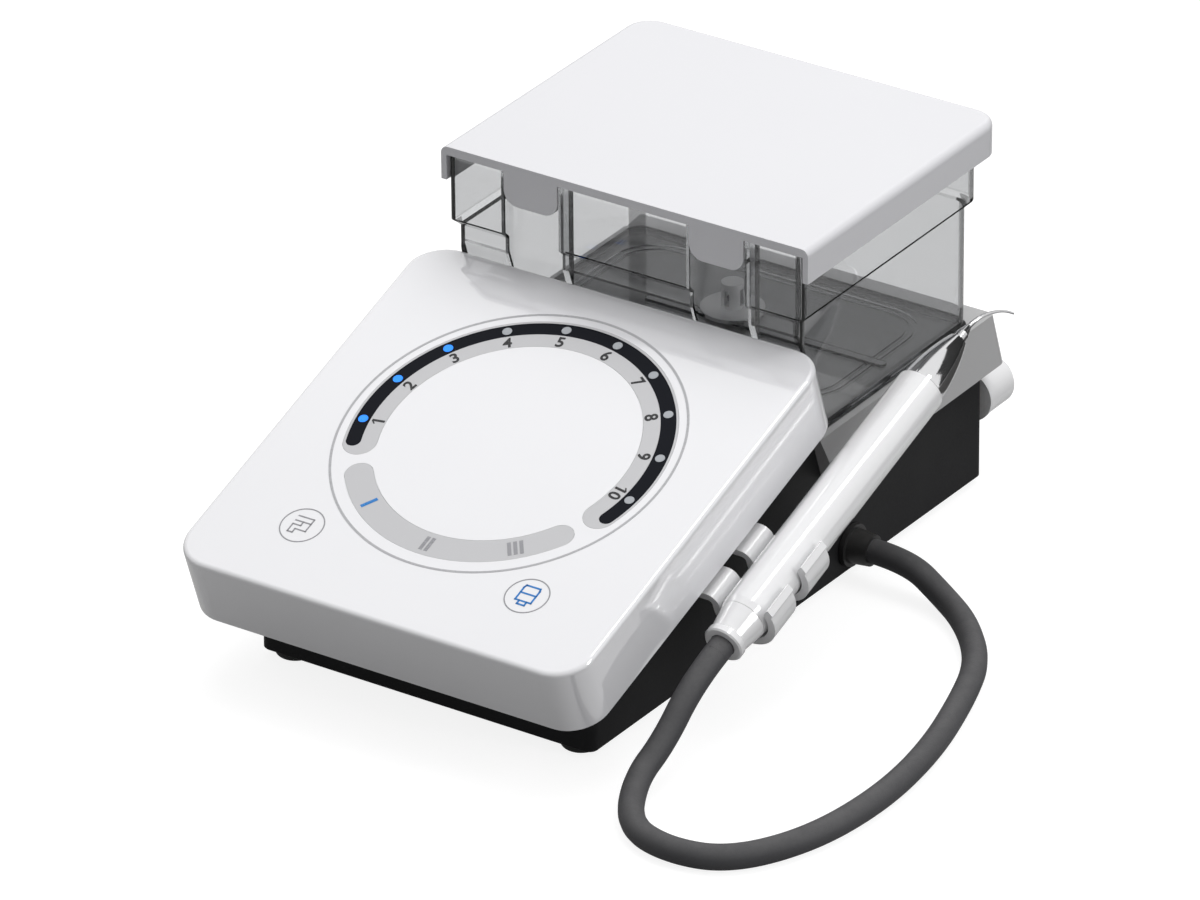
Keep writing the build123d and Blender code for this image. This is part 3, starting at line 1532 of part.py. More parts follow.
# Hoses from the valve seat to the pump and from the pump to the needle valve
seat_nipple = Vector(casing_x + valve_x + seat_radius + nipple_length, valve_y, outlet_z)
pump_inlet = Vector(casing_x + pump_x - pump_nipple_x, nipple_y, pump_nipple_top_z)
pump_outlet = Vector(casing_x + pump_x + pump_nipple_x, nipple_y, pump_nipple_top_z)
valve_nipple = Vector(casing_x + knob_x, valve_front_y - nipple_length, knob_z)
hose(
    "inlet_hose",
    [
        seat_nipple,
        Vector(pump_inlet.X, valve_y, outlet_z),
        Vector(pump_inlet.X, nipple_y, outlet_z),
        pump_inlet,
    ],
)
hose(
    "outlet_hose",
    [
        pump_outlet,
        Vector(pump_outlet.X, nipple_y, outlet_z),
        Vector(casing_x + rear_boss_x, nipple_y, outlet_z),
        Vector(casing_x + rear_boss_x, nipple_y, knob_z),
        Vector(valve_nipple.X, nipple_y + 2 * hose_bend, knob_z),
        valve_nipple,
    ],
)
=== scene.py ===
"""Looks of a table-top ultrasonic scaler: touch panel, clear tank, corded handpiece. Metres, +Z up."""
from math import cos, pi, radians, sin

import bmesh
import bpy
from mathutils import Matrix, Vector


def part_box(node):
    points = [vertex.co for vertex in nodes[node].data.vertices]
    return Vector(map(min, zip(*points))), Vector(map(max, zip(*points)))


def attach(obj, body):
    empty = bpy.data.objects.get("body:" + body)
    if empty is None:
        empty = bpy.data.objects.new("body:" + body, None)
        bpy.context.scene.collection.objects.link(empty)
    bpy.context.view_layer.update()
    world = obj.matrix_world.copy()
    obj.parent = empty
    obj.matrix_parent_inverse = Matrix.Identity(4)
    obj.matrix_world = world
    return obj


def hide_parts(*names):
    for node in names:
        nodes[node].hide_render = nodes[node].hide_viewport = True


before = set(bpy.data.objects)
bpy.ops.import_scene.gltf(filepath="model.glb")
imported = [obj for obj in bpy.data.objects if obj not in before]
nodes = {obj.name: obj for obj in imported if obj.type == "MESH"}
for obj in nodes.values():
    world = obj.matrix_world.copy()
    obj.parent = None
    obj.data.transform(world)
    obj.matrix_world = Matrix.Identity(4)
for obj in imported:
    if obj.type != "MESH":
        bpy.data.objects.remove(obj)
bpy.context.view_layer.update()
scene = bpy.context.scene

# Panel plane: x across, y up the slope, z out of the surface
panel_tilt = radians(18.9)
panel = Matrix.Translation((-0.014, -0.161, 0.054)) @ Matrix.Rotation(panel_tilt, 4, "X")
dial_y = 0.0979
print_height = 0.00006
print_lift = 0.00002


# Camera

def add_camera():
    """The photograph's viewpoint: far off, to the right and above, with a long lens."""
    target = Vector((0.02838, -0.0710, 0.09572))
    position = Vector((1.8856, -2.8368, 1.8555))
    back = (position - target).normalized()
    right = Vector((0, 0, 1)).cross(back).normalized()
    up = back.cross(right)
    roll = radians(-0.48)
    tilted_right = right * cos(roll) + up * sin(roll)
    tilted_up = up * cos(roll) - right * sin(roll)
    lens = bpy.data.cameras.new("camera")
    lens.sensor_width = 36.0
    lens.lens = 308.1
    lens.clip_start = 0.05
    lens.clip_end = 40.0
    camera = bpy.data.objects.new("camera", lens)
    turn = Matrix((tilted_right, tilted_up, back)).transposed().to_4x4()
    camera.matrix_world = Matrix.Translation(position) @ turn
    scene.collection.objects.link(camera)
    scene.camera = camera


add_camera()


# Handpiece cord

cord_radius = 0.0049
cord_end_run = 0.0163
gland_mouth_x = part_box("cord_gland")[1].x
cord_end = Vector((gland_mouth_x, 0.0455, 0.0140))


def add_cord():
    """One smooth line from the handpiece's tail down to the table, round in a loop and into the gland."""
    route = [
        (0.0904, -0.089737, 0.036648),
        (0.0904, -0.104875, 0.031465),
        (0.0902, -0.1230, 0.0165),
        (0.0892, -0.1405, 0.0085),
        (0.1018, -0.1642, 0.0050),
        (0.1233, -0.1715, 0.0050),
        (0.1464, -0.1656, 0.0050),
        (0.1626, -0.1370, 0.0050),
        (0.1680, -0.0980, 0.0050),
        (0.1644, -0.0586, 0.0050),
        (0.1540, -0.0198, 0.0050),
        (0.1436, 0.0078, 0.0050),
        (0.1244, 0.0306, 0.0050),
        (0.1050, 0.0434, 0.0060),
        cord_end + Vector((cord_end_run, 0, 0)),
        cord_end,
    ]
    line = bpy.data.curves.new("cord", "CURVE")
    line.dimensions = "3D"
    spline = line.splines.new("NURBS")
    spline.points.add(len(route) - 1)
    for point, place in zip(spline.points, route):
        point.co = (*place, 1.0)
        point.radius = cord_radius
    spline.order_u = 3
    spline.use_endpoint_u = True
    spline.resolution_u = 16
    line.bevel_depth = 1.0  # times each point's radius
    line.bevel_resolution = 8
    line.use_fill_caps = True
    piece = bpy.data.objects.new("cord", line)
    scene.collection.objects.link(piece)
    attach(piece, "unit")
    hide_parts("handpiece_cord")
    return piece


cord = add_cord()


# Node groups that several finishes share

def link(tree, source, target):
    tree.links.new(source, target)


def calculate(tree, operation, first, second):
    """One sum on two sockets, or on a socket and a number."""
    node = tree.nodes.new("ShaderNodeMath")
    node.operation = operation
    link(tree, first, node.inputs[0])
    if isinstance(second, bpy.types.NodeSocket):
        link(tree, second, node.inputs[1])
    else:
        node.inputs[1].default_value = second
    return node.outputs[0]


def new_group(name, sockets_in, sockets_out):
    """An empty shader group with its sockets, and its two end nodes."""
    group = bpy.data.node_groups.new(name, "ShaderNodeTree")
    for label, kind, value in sockets_in:
        socket = group.interface.new_socket(label, in_out="INPUT", socket_type=kind)
        if value is not None:
            socket.default_value = value
    for label, kind in sockets_out:
        group.interface.new_socket(label, in_out="OUTPUT", socket_type=kind)
    return group, group.nodes.new("NodeGroupInput"), group.nodes.new("NodeGroupOutput")


def make_tone_group():
    """Slow, faint drift between two colours, as in moulded stock."""
    group, start, end = new_group(
        "tone_drift",
        [
            ("Vector", "NodeSocketVector", None),
            ("Colour A", "NodeSocketColor", (0.8, 0.8, 0.8, 1)),
            ("Colour B", "NodeSocketColor", (0.7, 0.7, 0.7, 1)),
            ("Scale", "NodeSocketFloat", 12.0),
            ("Contrast", "NodeSocketFloat", 0.6),
        ],
        [("Colour", "NodeSocketColor")],
    )
    noise = group.nodes.new("ShaderNodeTexNoise")
    noise.inputs["Detail"].default_value = 4.0
    noise.inputs["Roughness"].default_value = 0.55
    link(group, start.outputs["Vector"], noise.inputs["Vector"])
    link(group, start.outputs["Scale"], noise.inputs["Scale"])
    spread = group.nodes.new("ShaderNodeMath")
    spread.operation = "MULTIPLY_ADD"
    spread.use_clamp = True
    spread.inputs[2].default_value = 0.5
    link(group, calculate(group, "SUBTRACT", noise.outputs["Fac"], 0.5), spread.inputs[0])
    link(group, start.outputs["Contrast"], spread.inputs[1])
    mix = group.nodes.new("ShaderNodeMix")
    mix.data_type = "RGBA"
    link(group, spread.outputs[0], mix.inputs["Factor"])
    link(group, start.outputs["Colour A"], mix.inputs["A"])
    link(group, start.outputs["Colour B"], mix.inputs["B"])
    link(group, mix.outputs["Result"], end.inputs["Colour"])
    return group


def make_grain_group():
    """Fine moulded or cast grain: a height for bump and a roughness that follows it."""
    group, start, end = new_group(
        "moulded_grain",
        [
            ("Vector", "NodeSocketVector", None),
            ("Scale", "NodeSocketFloat", 900.0),
            ("Low Roughness", "NodeSocketFloat", 0.2),
            ("High Roughness", "NodeSocketFloat", 0.4),
        ],
        [("Height", "NodeSocketFloat"), ("Roughness", "NodeSocketFloat")],
    )
    fine = group.nodes.new("ShaderNodeTexNoise")
    fine.inputs["Detail"].default_value = 2.0
    fine.inputs["Roughness"].default_value = 0.5
    link(group, start.outputs["Vector"], fine.inputs["Vector"])
    link(group, start.outputs["Scale"], fine.inputs["Scale"])
    coarse = group.nodes.new("ShaderNodeTexNoise")
    coarse.inputs["Scale"].default_value = 22.0
    coarse.inputs["Detail"].default_value = 3.0
    link(group, start.outputs["Vector"], coarse.inputs["Vector"])
    blend = group.nodes.new("ShaderNodeMath")
    blend.operation = "MULTIPLY_ADD"
    blend.inputs[1].default_value = 0.35
    link(group, fine.outputs["Fac"], blend.inputs[0])
    link(group, calculate(group, "MULTIPLY", coarse.outputs["Fac"], 0.65), blend.inputs[2])
    spread = group.nodes.new("ShaderNodeMapRange")
    spread.inputs["From Min"].default_value = 0.35
    spread.inputs["From Max"].default_value = 0.65
    link(group, blend.outputs[0], spread.inputs["Value"])
    link(group, start.outputs["Low Roughness"], spread.inputs["To Min"])
    link(group, start.outputs["High Roughness"], spread.inputs["To Max"])
    link(group, fine.outputs["Fac"], end.inputs["Height"])
    link(group, spread.outputs["Result"], end.inputs["Roughness"])
    return group


def make_turned_group():
    """Tool marks of a turned or drawn metal: fine lines along the axis that is stretched least."""
    group, start, end = new_group(
        "tool_marks",
        [
            ("Vector", "NodeSocketVector", None),
            ("Stretch", "NodeSocketVector", (1.0, 1.0, 1.0)),
            ("Low Roughness", "NodeSocketFloat", 0.15),
            ("High Roughness", "NodeSocketFloat", 0.35),
        ],
        [("Height", "NodeSocketFloat"), ("Roughness", "NodeSocketFloat")],
    )
    stretched = group.nodes.new("ShaderNodeVectorMath")
    stretched.operation = "MULTIPLY"
    link(group, start.outputs["Vector"], stretched.inputs[0])
    link(group, start.outputs["Stretch"], stretched.inputs[1])
    lines = group.nodes.new("ShaderNodeTexNoise")
    lines.inputs["Scale"].default_value = 1.0
    lines.inputs["Detail"].default_value = 3.0
    lines.inputs["Roughness"].default_value = 0.6
    link(group, stretched.outputs[0], lines.inputs["Vector"])
    spread = group.nodes.new("ShaderNodeMapRange")
    spread.inputs["From Min"].default_value = 0.3
    spread.inputs["From Max"].default_value = 0.7
    link(group, lines.outputs["Fac"], spread.inputs["Value"])
    link(group, start.outputs["Low Roughness"], spread.inputs["To Min"])
    link(group, start.outputs["High Roughness"], spread.inputs["To Max"])
    link(group, lines.outputs["Fac"], end.inputs["Height"])
    link(group, spread.outputs["Result"], end.inputs["Roughness"])
    return group


def make_dust_group():
    """Fine dust that lies mostly on faces that look up, over the colour that is put in."""
    group, start, end = new_group(
        "dust_film",
        [
            ("Vector", "NodeSocketVector", None),
            ("Colour", "NodeSocketColor", (0.5, 0.5, 0.5, 1)),
            ("Dust", "NodeSocketColor", (0.7, 0.68, 0.66, 1)),
            ("Amount", "NodeSocketFloat", 0.1),
        ],
        [("Colour", "NodeSocketColor")],
    )
    geometry = group.nodes.new("ShaderNodeNewGeometry")
    split = group.nodes.new("ShaderNodeSeparateXYZ")
    link(group, geometry.outputs["Normal"], split.inputs[0])
    upward = group.nodes.new("ShaderNodeMapRange")
    upward.inputs["From Min"].default_value = 0.2
    upward.inputs["From Max"].default_value = 1.0
    link(group, split.outputs["Z"], upward.inputs["Value"])
    specks = group.nodes.new("ShaderNodeTexNoise")
    specks.inputs["Scale"].default_value = 160.0
    specks.inputs["Detail"].default_value = 6.0
    specks.inputs["Roughness"].default_value = 0.7
    link(group, start.outputs["Vector"], specks.inputs["Vector"])
    settled = calculate(group, "MULTIPLY", upward.outputs["Result"], specks.outputs["Fac"])
    amount = calculate(group, "MULTIPLY", settled, start.outputs["Amount"])
    mix = group.nodes.new("ShaderNodeMix")
    mix.data_type = "RGBA"
    link(group, amount, mix.inputs["Factor"])
    link(group, start.outputs["Colour"], mix.inputs["A"])
    link(group, start.outputs["Dust"], mix.inputs["B"])
    link(group, mix.outputs["Result"], end.inputs["Colour"])
    return group


tone_drift = make_tone_group()
moulded_grain = make_grain_group()
tool_marks = make_turned_group()
dust_film = make_dust_group()


# Finishes

def new_material(name):
    """A material with only its shader, its output and the object's own coordinates."""
    material = bpy.data.materials.new(name)
    material.use_nodes = True
    tree = material.node_tree
    place = tree.nodes.new("ShaderNodeTexCoord")
    return material, tree, tree.nodes["Principled BSDF"], place.outputs["Object"]


def place_group(tree, group, vector, **values):
    """One placed group with its own values; underscores in the names stand for spaces."""
    node = tree.nodes.new("ShaderNodeGroup")
    node.node_tree = group
    link(tree, vector, node.inputs["Vector"])
    for label, value in values.items():
        node.inputs[label.replace("_", " ")].default_value = value
    return node


def shade(colour, factor):
    """A colour darkened or lightened by a factor, with its alpha."""
    return tuple(min(1.0, c * factor) for c in colour[:3]) + (1.0,)


def add_bump(tree, shader, height, strength, distance):
    """A bump on the shader's normal."""
    bump = tree.nodes.new("ShaderNodeBump")
    bump.inputs["Strength"].default_value = strength
    bump.inputs["Distance"].default_value = distance
    link(tree, height, bump.inputs["Height"])
    link(tree, bump.outputs["Normal"], shader.inputs["Normal"])


def plastic(name, colour, low, high, grain, bump, dust=0.08, coat=0.0, specular=0.5, coat_ior=1.6):
    """Moulded plastic: drifting tone, grain, a film of dust and an optional clear gloss."""
    material, tree, shader, vector = new_material(name)
    tone = place_group(
        tree, tone_drift, vector, Colour_A=shade(colour, 1.0), Colour_B=shade(colour, 0.94), Scale=9.0
    )
    film = place_group(tree, dust_film, vector, Amount=dust)
    link(tree, tone.outputs["Colour"], film.inputs["Colour"])
    link(tree, film.outputs["Colour"], shader.inputs["Base Color"])
    texture = place_group(tree, moulded_grain, vector, Scale=grain, Low_Roughness=low, High_Roughness=high)
    link(tree, texture.outputs["Roughness"], shader.inputs["Roughness"])
    add_bump(tree, shader, texture.outputs["Height"], bump, 0.0002)
    shader.inputs["Coat Weight"].default_value = coat
    shader.inputs["Coat Roughness"].default_value = 0.03
    shader.inputs["Coat IOR"].default_value = coat_ior
    shader.inputs["Specular IOR Level"].default_value = specular
    return material


def metal(name, colour, low, high, stretch, bump):
    """Machined metal with tool marks along one direction."""
    material, tree, shader, vector = new_material(name)
    tone = place_group(
        tree, tone_drift, vector, Colour_A=shade(colour, 1.0), Colour_B=shade(colour, 0.88), Scale=60.0
    )
    link(tree, tone.outputs["Colour"], shader.inputs["Base Color"])
    marks = place_group(tree, tool_marks, vector, Stretch=stretch, Low_Roughness=low, High_Roughness=high)
    link(tree, marks.outputs["Roughness"], shader.inputs["Roughness"])
    add_bump(tree, shader, marks.outputs["Height"], bump, 0.0001)
    shader.inputs["Metallic"].default_value = 1.0
    return material


def rubber(name, colour, bump):
    """Soft rubber: dull, finely pored, with a little dust."""
    material, tree, shader, vector = new_material(name)
    tone = place_group(
        tree, tone_drift, vector, Colour_A=shade(colour, 1.08), Colour_B=shade(colour, 0.86), Scale=40.0
    )
    film = place_group(tree, dust_film, vector, Amount=0.1)
    link(tree, tone.outputs["Colour"], film.inputs["Colour"])
    link(tree, film.outputs["Colour"], shader.inputs["Base Color"])
    texture = place_group(
        tree, moulded_grain, vector, Scale=1500.0, Low_Roughness=0.55, High_Roughness=0.78
    )
    link(tree, texture.outputs["Roughness"], shader.inputs["Roughness"])
    add_bump(tree, shader, texture.outputs["Height"], bump, 0.0003)
    shader.inputs["Specular IOR Level"].default_value = 0.35
    return material


def clear(name, colour, low, high, smoke, weight=1.0):
    """Clear moulded plastic with faint flow marks in its surface, darker the more of it a line of sight meets."""
    material, tree, shader, vector = new_material(name)
    tone = place_group(
        tree, tone_drift, vector, Colour_A=shade(colour, 1.0), Colour_B=shade(colour, 0.97), Scale=14.0
    )
    link(tree, tone.outputs["Colour"], shader.inputs["Base Color"])
    texture = place_group(tree, moulded_grain, vector, Scale=60.0, Low_Roughness=low, High_Roughness=high)
    link(tree, texture.outputs["Roughness"], shader.inputs["Roughness"])
    add_bump(tree, shader, texture.outputs["Height"], 0.02, 0.0004)
    shader.inputs["Transmission Weight"].default_value = weight
    shader.inputs["IOR"].default_value = 1.49
    body = tree.nodes.new("ShaderNodeVolumeAbsorption")
    body.inputs["Color"].default_value = (0.10, 0.11, 0.12, 1)
    body.inputs["Density"].default_value = smoke
    link(tree, body.outputs["Volume"], tree.nodes["Material Output"].inputs["Volume"])
    return material


def darken_corners(material, facing, start, end):
    """Painted shade: a dark upright band painted into the tank's colour where the corners of the stepped tank turn.
    It stands in for the dark edges that light passing through thick smoked corners shows.

    Facing is 1 for the two rear corners and -1 for the two front ones. A point's reach is its distance from the
    tank's middle plane plus its y times facing. The band sets in at the reach called start and is full at end.
    """
    tree = material.node_tree
    shader = tree.nodes["Principled BSDF"]
    tone = shader.inputs["Base Color"].links[0].from_socket
    place = tree.nodes.new("ShaderNodeTexCoord")
    split = tree.nodes.new("ShaderNodeSeparateXYZ")
    link(tree, place.outputs["Object"], split.inputs[0])
    sideways = calculate(tree, "SUBTRACT", split.outputs["X"], tank_x)
    to_right = calculate(tree, "MAXIMUM", sideways, calculate(tree, "MULTIPLY", sideways, -1.0))
    reach = calculate(tree, "ADD", to_right, calculate(tree, "MULTIPLY", split.outputs["Y"], facing))
    above = calculate(tree, "GREATER_THAN", split.outputs["Z"], tank_step_z)
    reach = calculate(tree, "SUBTRACT", reach, calculate(tree, "MULTIPLY", above, 2 * tank_step_width))
    # Painted shade: near-black painted over the tank's tone, up to 0.85, across the corner band
    band = tree.nodes.new("ShaderNodeMapRange")
    band.interpolation_type = "SMOOTHSTEP"
    band.inputs["From Min"].default_value = start
    band.inputs["From Max"].default_value = end
    band.inputs["To Max"].default_value = 0.85
    link(tree, reach, band.inputs["Value"])
    mix = tree.nodes.new("ShaderNodeMix")
    mix.data_type = "RGBA"
    mix.inputs["B"].default_value = (0.05, 0.05, 0.05, 1)
    link(tree, band.outputs["Result"], mix.inputs["Factor"])
    link(tree, tone, mix.inputs["A"])
    link(tree, mix.outputs["Result"], shader.inputs["Base Color"])


def banded(name, first, second, direction, period, share, rough, metallic):
    """Two colours in fine parallel bands, as in wound wire or stacked sheets."""
    material, tree, shader, vector = new_material(name)
    scaled = tree.nodes.new("ShaderNodeVectorMath")
    scaled.operation = "DOT_PRODUCT"
    scaled.inputs[1].default_value = Vector(direction).normalized() / period
    link(tree, vector, scaled.inputs[0])
    wave = tree.nodes.new("ShaderNodeMath")
    wave.operation = "FRACT"
    link(tree, scaled.outputs["Value"], wave.inputs[0])
    step = tree.nodes.new("ShaderNodeMapRange")
    step.interpolation_type = "SMOOTHSTEP"
    step.inputs["From Min"].default_value = share - 0.15
    step.inputs["From Max"].default_value = share + 0.15
    link(tree, wave.outputs[0], step.inputs["Value"])
    tone = place_group(
        tree, tone_drift, vector, Colour_A=shade(first, 1.0), Colour_B=shade(first, 0.8), Scale=50.0
    )
    mix = tree.nodes.new("ShaderNodeMix")
    mix.data_type = "RGBA"
    mix.inputs["B"].default_value = shade(second, 1.0)
    link(tree, step.outputs["Result"], mix.inputs["Factor"])
    link(tree, tone.outputs["Colour"], mix.inputs["A"])
    link(tree, mix.outputs["Result"], shader.inputs["Base Color"])
    texture = place_group(
        tree, moulded_grain, vector, Scale=900.0, Low_Roughness=rough, High_Roughness=rough + 0.15
    )
    link(tree, texture.outputs["Roughness"], shader.inputs["Roughness"])
    add_bump(tree, shader, step.outputs["Result"], 0.4, 0.0002)
    shader.inputs["Metallic"].default_value = metallic
    return material


def board_finish(name):
    """Circuit board: green lacquer over a net of lighter tracks."""
    material, tree, shader, vector = new_material(name)
    tracks = tree.nodes.new("ShaderNodeTexBrick")
    tracks.inputs["Scale"].default_value = 220.0
    tracks.inputs["Mortar Size"].default_value = 0.06
    tracks.inputs["Color1"].default_value = (0.02, 0.16, 0.07, 1)
    tracks.inputs["Color2"].default_value = (0.03, 0.20, 0.09, 1)
    tracks.inputs["Mortar"].default_value = (0.10, 0.36, 0.18, 1)
    link(tree, vector, tracks.inputs["Vector"])
    film = place_group(tree, dust_film, vector, Amount=0.12)
    link(tree, tracks.outputs["Color"], film.inputs["Colour"])
    link(tree, film.outputs["Colour"], shader.inputs["Base Color"])
    texture = place_group(
        tree, moulded_grain, vector, Scale=700.0, Low_Roughness=0.25, High_Roughness=0.45
    )
    link(tree, texture.outputs["Roughness"], shader.inputs["Roughness"])
    add_bump(tree, shader, tracks.outputs["Fac"], 0.3, 0.0001)
    return material


def light_finish(name, lit, unlit, border_x):
    """Light guides: the ones left of the border glow, the rest are dull."""
    material, tree, shader, vector = new_material(name)
    split = tree.nodes.new("ShaderNodeSeparateXYZ")
    link(tree, vector, split.inputs[0])
    left = calculate(tree, "LESS_THAN", split.outputs["X"], border_x)
    tone = place_group(
        tree, tone_drift, vector, Colour_A=shade(unlit, 1.0), Colour_B=shade(unlit, 0.85), Scale=300.0
    )
    mix = tree.nodes.new("ShaderNodeMix")
    mix.data_type = "RGBA"
    mix.inputs["B"].default_value = shade(lit, 1.0)
    link(tree, left, mix.inputs["Factor"])
    link(tree, tone.outputs["Colour"], mix.inputs["A"])
    link(tree, mix.outputs["Result"], shader.inputs["Base Color"])
    glow = tree.nodes.new("ShaderNodeMix")
    glow.data_type = "RGBA"
    glow.inputs["A"].default_value = (0, 0, 0, 1)
    glow.inputs["B"].default_value = shade(lit, 1.0)
    link(tree, left, glow.inputs["Factor"])
    link(tree, glow.outputs["Result"], shader.inputs["Emission Color"])
    shader.inputs["Emission Strength"].default_value = 0.55
    texture = place_group(
        tree, moulded_grain, vector, Scale=500.0, Low_Roughness=0.15, High_Roughness=0.3
    )
    link(tree, texture.outputs["Roughness"], shader.inputs["Roughness"])
    return material


# Tool marks to the metre along x, y and z
along_x = (2.0, 900.0, 900.0)

# The light guides left of this are lit
lit_until_x = -0.055

# The tank's middle plane and step, and the reaches between which painted shade darkens its corners
tank_x = -0.014
tank_step_z = 0.1228
tank_step_width = 0.0025
rear_corner_shade_reach = (0.2025, 0.2031)
front_corner_shade_reach = (0.0618, 0.0624)

panel_white = plastic(
    "panel_white", (0.87, 0.87, 0.895), 0.05, 0.10, 260.0, 0.01, dust=0.02, coat=1.0, coat_ior=2.1
)
shell_white = plastic("shell_white", (0.86, 0.86, 0.88), 0.10, 0.20, 260.0, 0.02, dust=0.02, coat=0.25)
lid_white = plastic("lid_white", (0.735, 0.735, 0.76), 0.14, 0.26, 320.0, 0.03, dust=0.03, coat=0.2)
base_black = plastic("base_black", (0.017, 0.017, 0.018), 0.42, 0.60, 1400.0, 0.10, dust=0.02, specular=0.12)
deck_grey = plastic("deck_grey", (0.47, 0.47, 0.475), 0.16, 0.26, 1100.0, 0.03, dust=0.04, coat=0.3)
print_grey = plastic("scale_grey", (0.56, 0.56, 0.575), 0.12, 0.22, 400.0, 0.01, dust=0.0, coat=0.3)
window_dark = plastic("window_dark", (0.012, 0.013, 0.017), 0.10, 0.18, 400.0, 0.01, dust=0.0, specular=0.03)
socket_black = plastic("socket_black", (0.02, 0.02, 0.02), 0.30, 0.45, 900.0, 0.06)
rocker_black = plastic("rocker_black", (0.03, 0.03, 0.03), 0.18, 0.30, 900.0, 0.04)
hook_white = plastic("hook_white", (0.88, 0.88, 0.89), 0.12, 0.22, 300.0, 0.02, dust=0.02, coat=0.4)
handpiece_white = plastic("handpiece_white", (0.86, 0.86, 0.87), 0.06, 0.12, 300.0, 0.01, dust=0.01, coat=1.0)
knob_white = plastic("knob_white", (0.94, 0.94, 0.95), 0.12, 0.22, 300.0, 0.02, dust=0.02, coat=0.3)
pump_white = plastic("pump_white", (0.70, 0.70, 0.68), 0.30, 0.45, 600.0, 0.05)
ceramic_buff = plastic("ceramic_buff", (0.52, 0.48, 0.38), 0.45, 0.60, 900.0, 0.05)
foot_rubber = rubber("foot_rubber", (0.025, 0.025, 0.025), 0.25)
cord_rubber = rubber("cord_rubber", (0.060, 0.060, 0.064), 0.20)
seal_rubber = rubber("seal_rubber", (0.03, 0.03, 0.03), 0.15)
hose_rubber = rubber("hose_rubber", (0.45, 0.47, 0.48), 0.05)
tank_clear = clear("tank_clear", (0.975, 0.978, 0.982), 0.01, 0.03, 130.0)
# Painted shade on the tank's rear and front corners
darken_corners(tank_clear, 1, *rear_corner_shade_reach)
darken_corners(tank_clear, -1, *front_corner_shade_reach)
valve_clear = clear("valve_clear", (0.97, 0.973, 0.976), 0.10, 0.18, 10.0, weight=0.25)
screw_steel = metal("screw_steel", (0.45, 0.45, 0.46), 0.25, 0.40, (900.0, 900.0, 40.0), 0.05)
motor_steel = metal("motor_steel", (0.50, 0.50, 0.51), 0.22, 0.38, (900.0, 30.0, 900.0), 0.05)
nose_chrome = metal("nose_chrome", (0.78, 0.78, 0.79), 0.05, 0.12, (500.0, 60.0, 60.0), 0.01)
tip_steel = metal("tip_steel", (0.62, 0.62, 0.63), 0.14, 0.26, (800.0, 120.0, 120.0), 0.03)
horn_titanium = metal("horn_titanium", (0.40, 0.39, 0.38), 0.25, 0.40, along_x, 0.05)
valve_brass = metal("valve_brass", (0.62, 0.45, 0.18), 0.20, 0.34, (900.0, 30.0, 900.0), 0.04)
pin_steel = metal("pin_steel", (0.55, 0.55, 0.56), 0.15, 0.28, (900.0, 900.0, 60.0), 0.03)
core_sheets = banded("core_sheets", (0.14, 0.13, 0.13), (0.28, 0.27, 0.27), (0, 1, 0), 0.0005, 0.35, 0.4, 0.8)
coil_wire = banded("coil_wire", (0.45, 0.22, 0.06), (0.62, 0.34, 0.12), (0, 0, 1), 0.0007, 0.5, 0.3, 0.5)
board_green = board_finish("board_green")
level_light_blue = light_finish("level_light", (0.01, 0.22, 0.90), (0.42, 0.44, 0.47), lit_until_x)

finishes = {
    "front_casing": panel_white,
    "casing_floor": shell_white,
    "base_housing": base_black,
    "deck_tray": deck_grey,
    "rubber_feet": foot_rubber,
    "case_screws": screw_steel,
    "scale_band": print_grey,
    "mode_window": print_grey,
    "level_window": window_dark,
    "level_lights": level_light_blue,
    "control_board": board_green,
    "board_screws": screw_steel,
    "main_board": board_green,
    "main_board_screws": screw_steel,
    "holder_hook_1": hook_white,
    "holder_hook_2": hook_white,
    "valve_seat": deck_grey,
    "cord_gland": socket_black,
    "handpiece_cord": cord_rubber,
    "needle_valve": valve_brass,
    "power_inlet": socket_black,
    "switch_frame": socket_black,
    "foot_socket": socket_black,
    "power_rocker": rocker_black,
    "transformer_core": core_sheets,
    "transformer_winding": coil_wire,
    "pump_head": pump_white,
    "pump_cover": pump_white,
    "pump_rotor": pump_white,
    "pump_motor": motor_steel,
    "inlet_hose": hose_rubber,
    "outlet_hose": hose_rubber,
    "water_tank": tank_clear,
    "tank_valve_body": valve_clear,
    "tank_seal": seal_rubber,
    "tank_valve_pin": pin_steel,
    "tank_lid": lid_white,
    "valve_spindle": pin_steel,
    "water_knob": knob_white,
    "tail_connector": handpiece_white,
    "cord_boot": cord_rubber,
    "handpiece_sleeve": handpiece_white,
    "nose_cone": nose_chrome,
    "horn": horn_titanium,
    "horn_seals": seal_rubber,
    "piezo_rings": ceramic_buff,
    "back_mass": motor_steel,
    "stack_bolt": screw_steel,
    "scaler_tip": tip_steel,
}
for node_name, node in nodes.items():
    node.data.materials.clear()
    node.data.materials.append(finishes[node_name])
cord.data.materials.append(cord_rubber)


# Prints on the touch panel

def ink(name, colour):
    """Printed ink: a thin, slightly uneven satin film."""
    material, tree, shader, vector = new_material(name)
    tone = place_group(
        tree, tone_drift, vector, Colour_A=shade(colour, 1.0), Colour_B=shade(colour, 0.8), Scale=500.0
    )
    link(tree, tone.outputs["Colour"], shader.inputs["Base Color"])
    texture = place_group(
        tree, moulded_grain, vector, Scale=900.0, Low_Roughness=0.2, High_Roughness=0.35
    )
    link(tree, texture.outputs["Roughness"], shader.inputs["Roughness"])
    return material


black_ink = ink("black_ink", (0.02, 0.02, 0.022))
grey_ink = ink("grey_ink", (0.33, 0.33, 0.35))
pale_ink = ink("pale_ink", (0.48, 0.48, 0.50))
blue_ink = ink("blue_ink", (0.02, 0.22, 0.62))


def seat(piece, place, material):
    """Moves a finished print to its place in its own mesh, and gives it its ink and its body."""
    piece.data.transform(place)
    piece.data.materials.append(material)
    scene.collection.objects.link(piece)
    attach(piece, "unit")


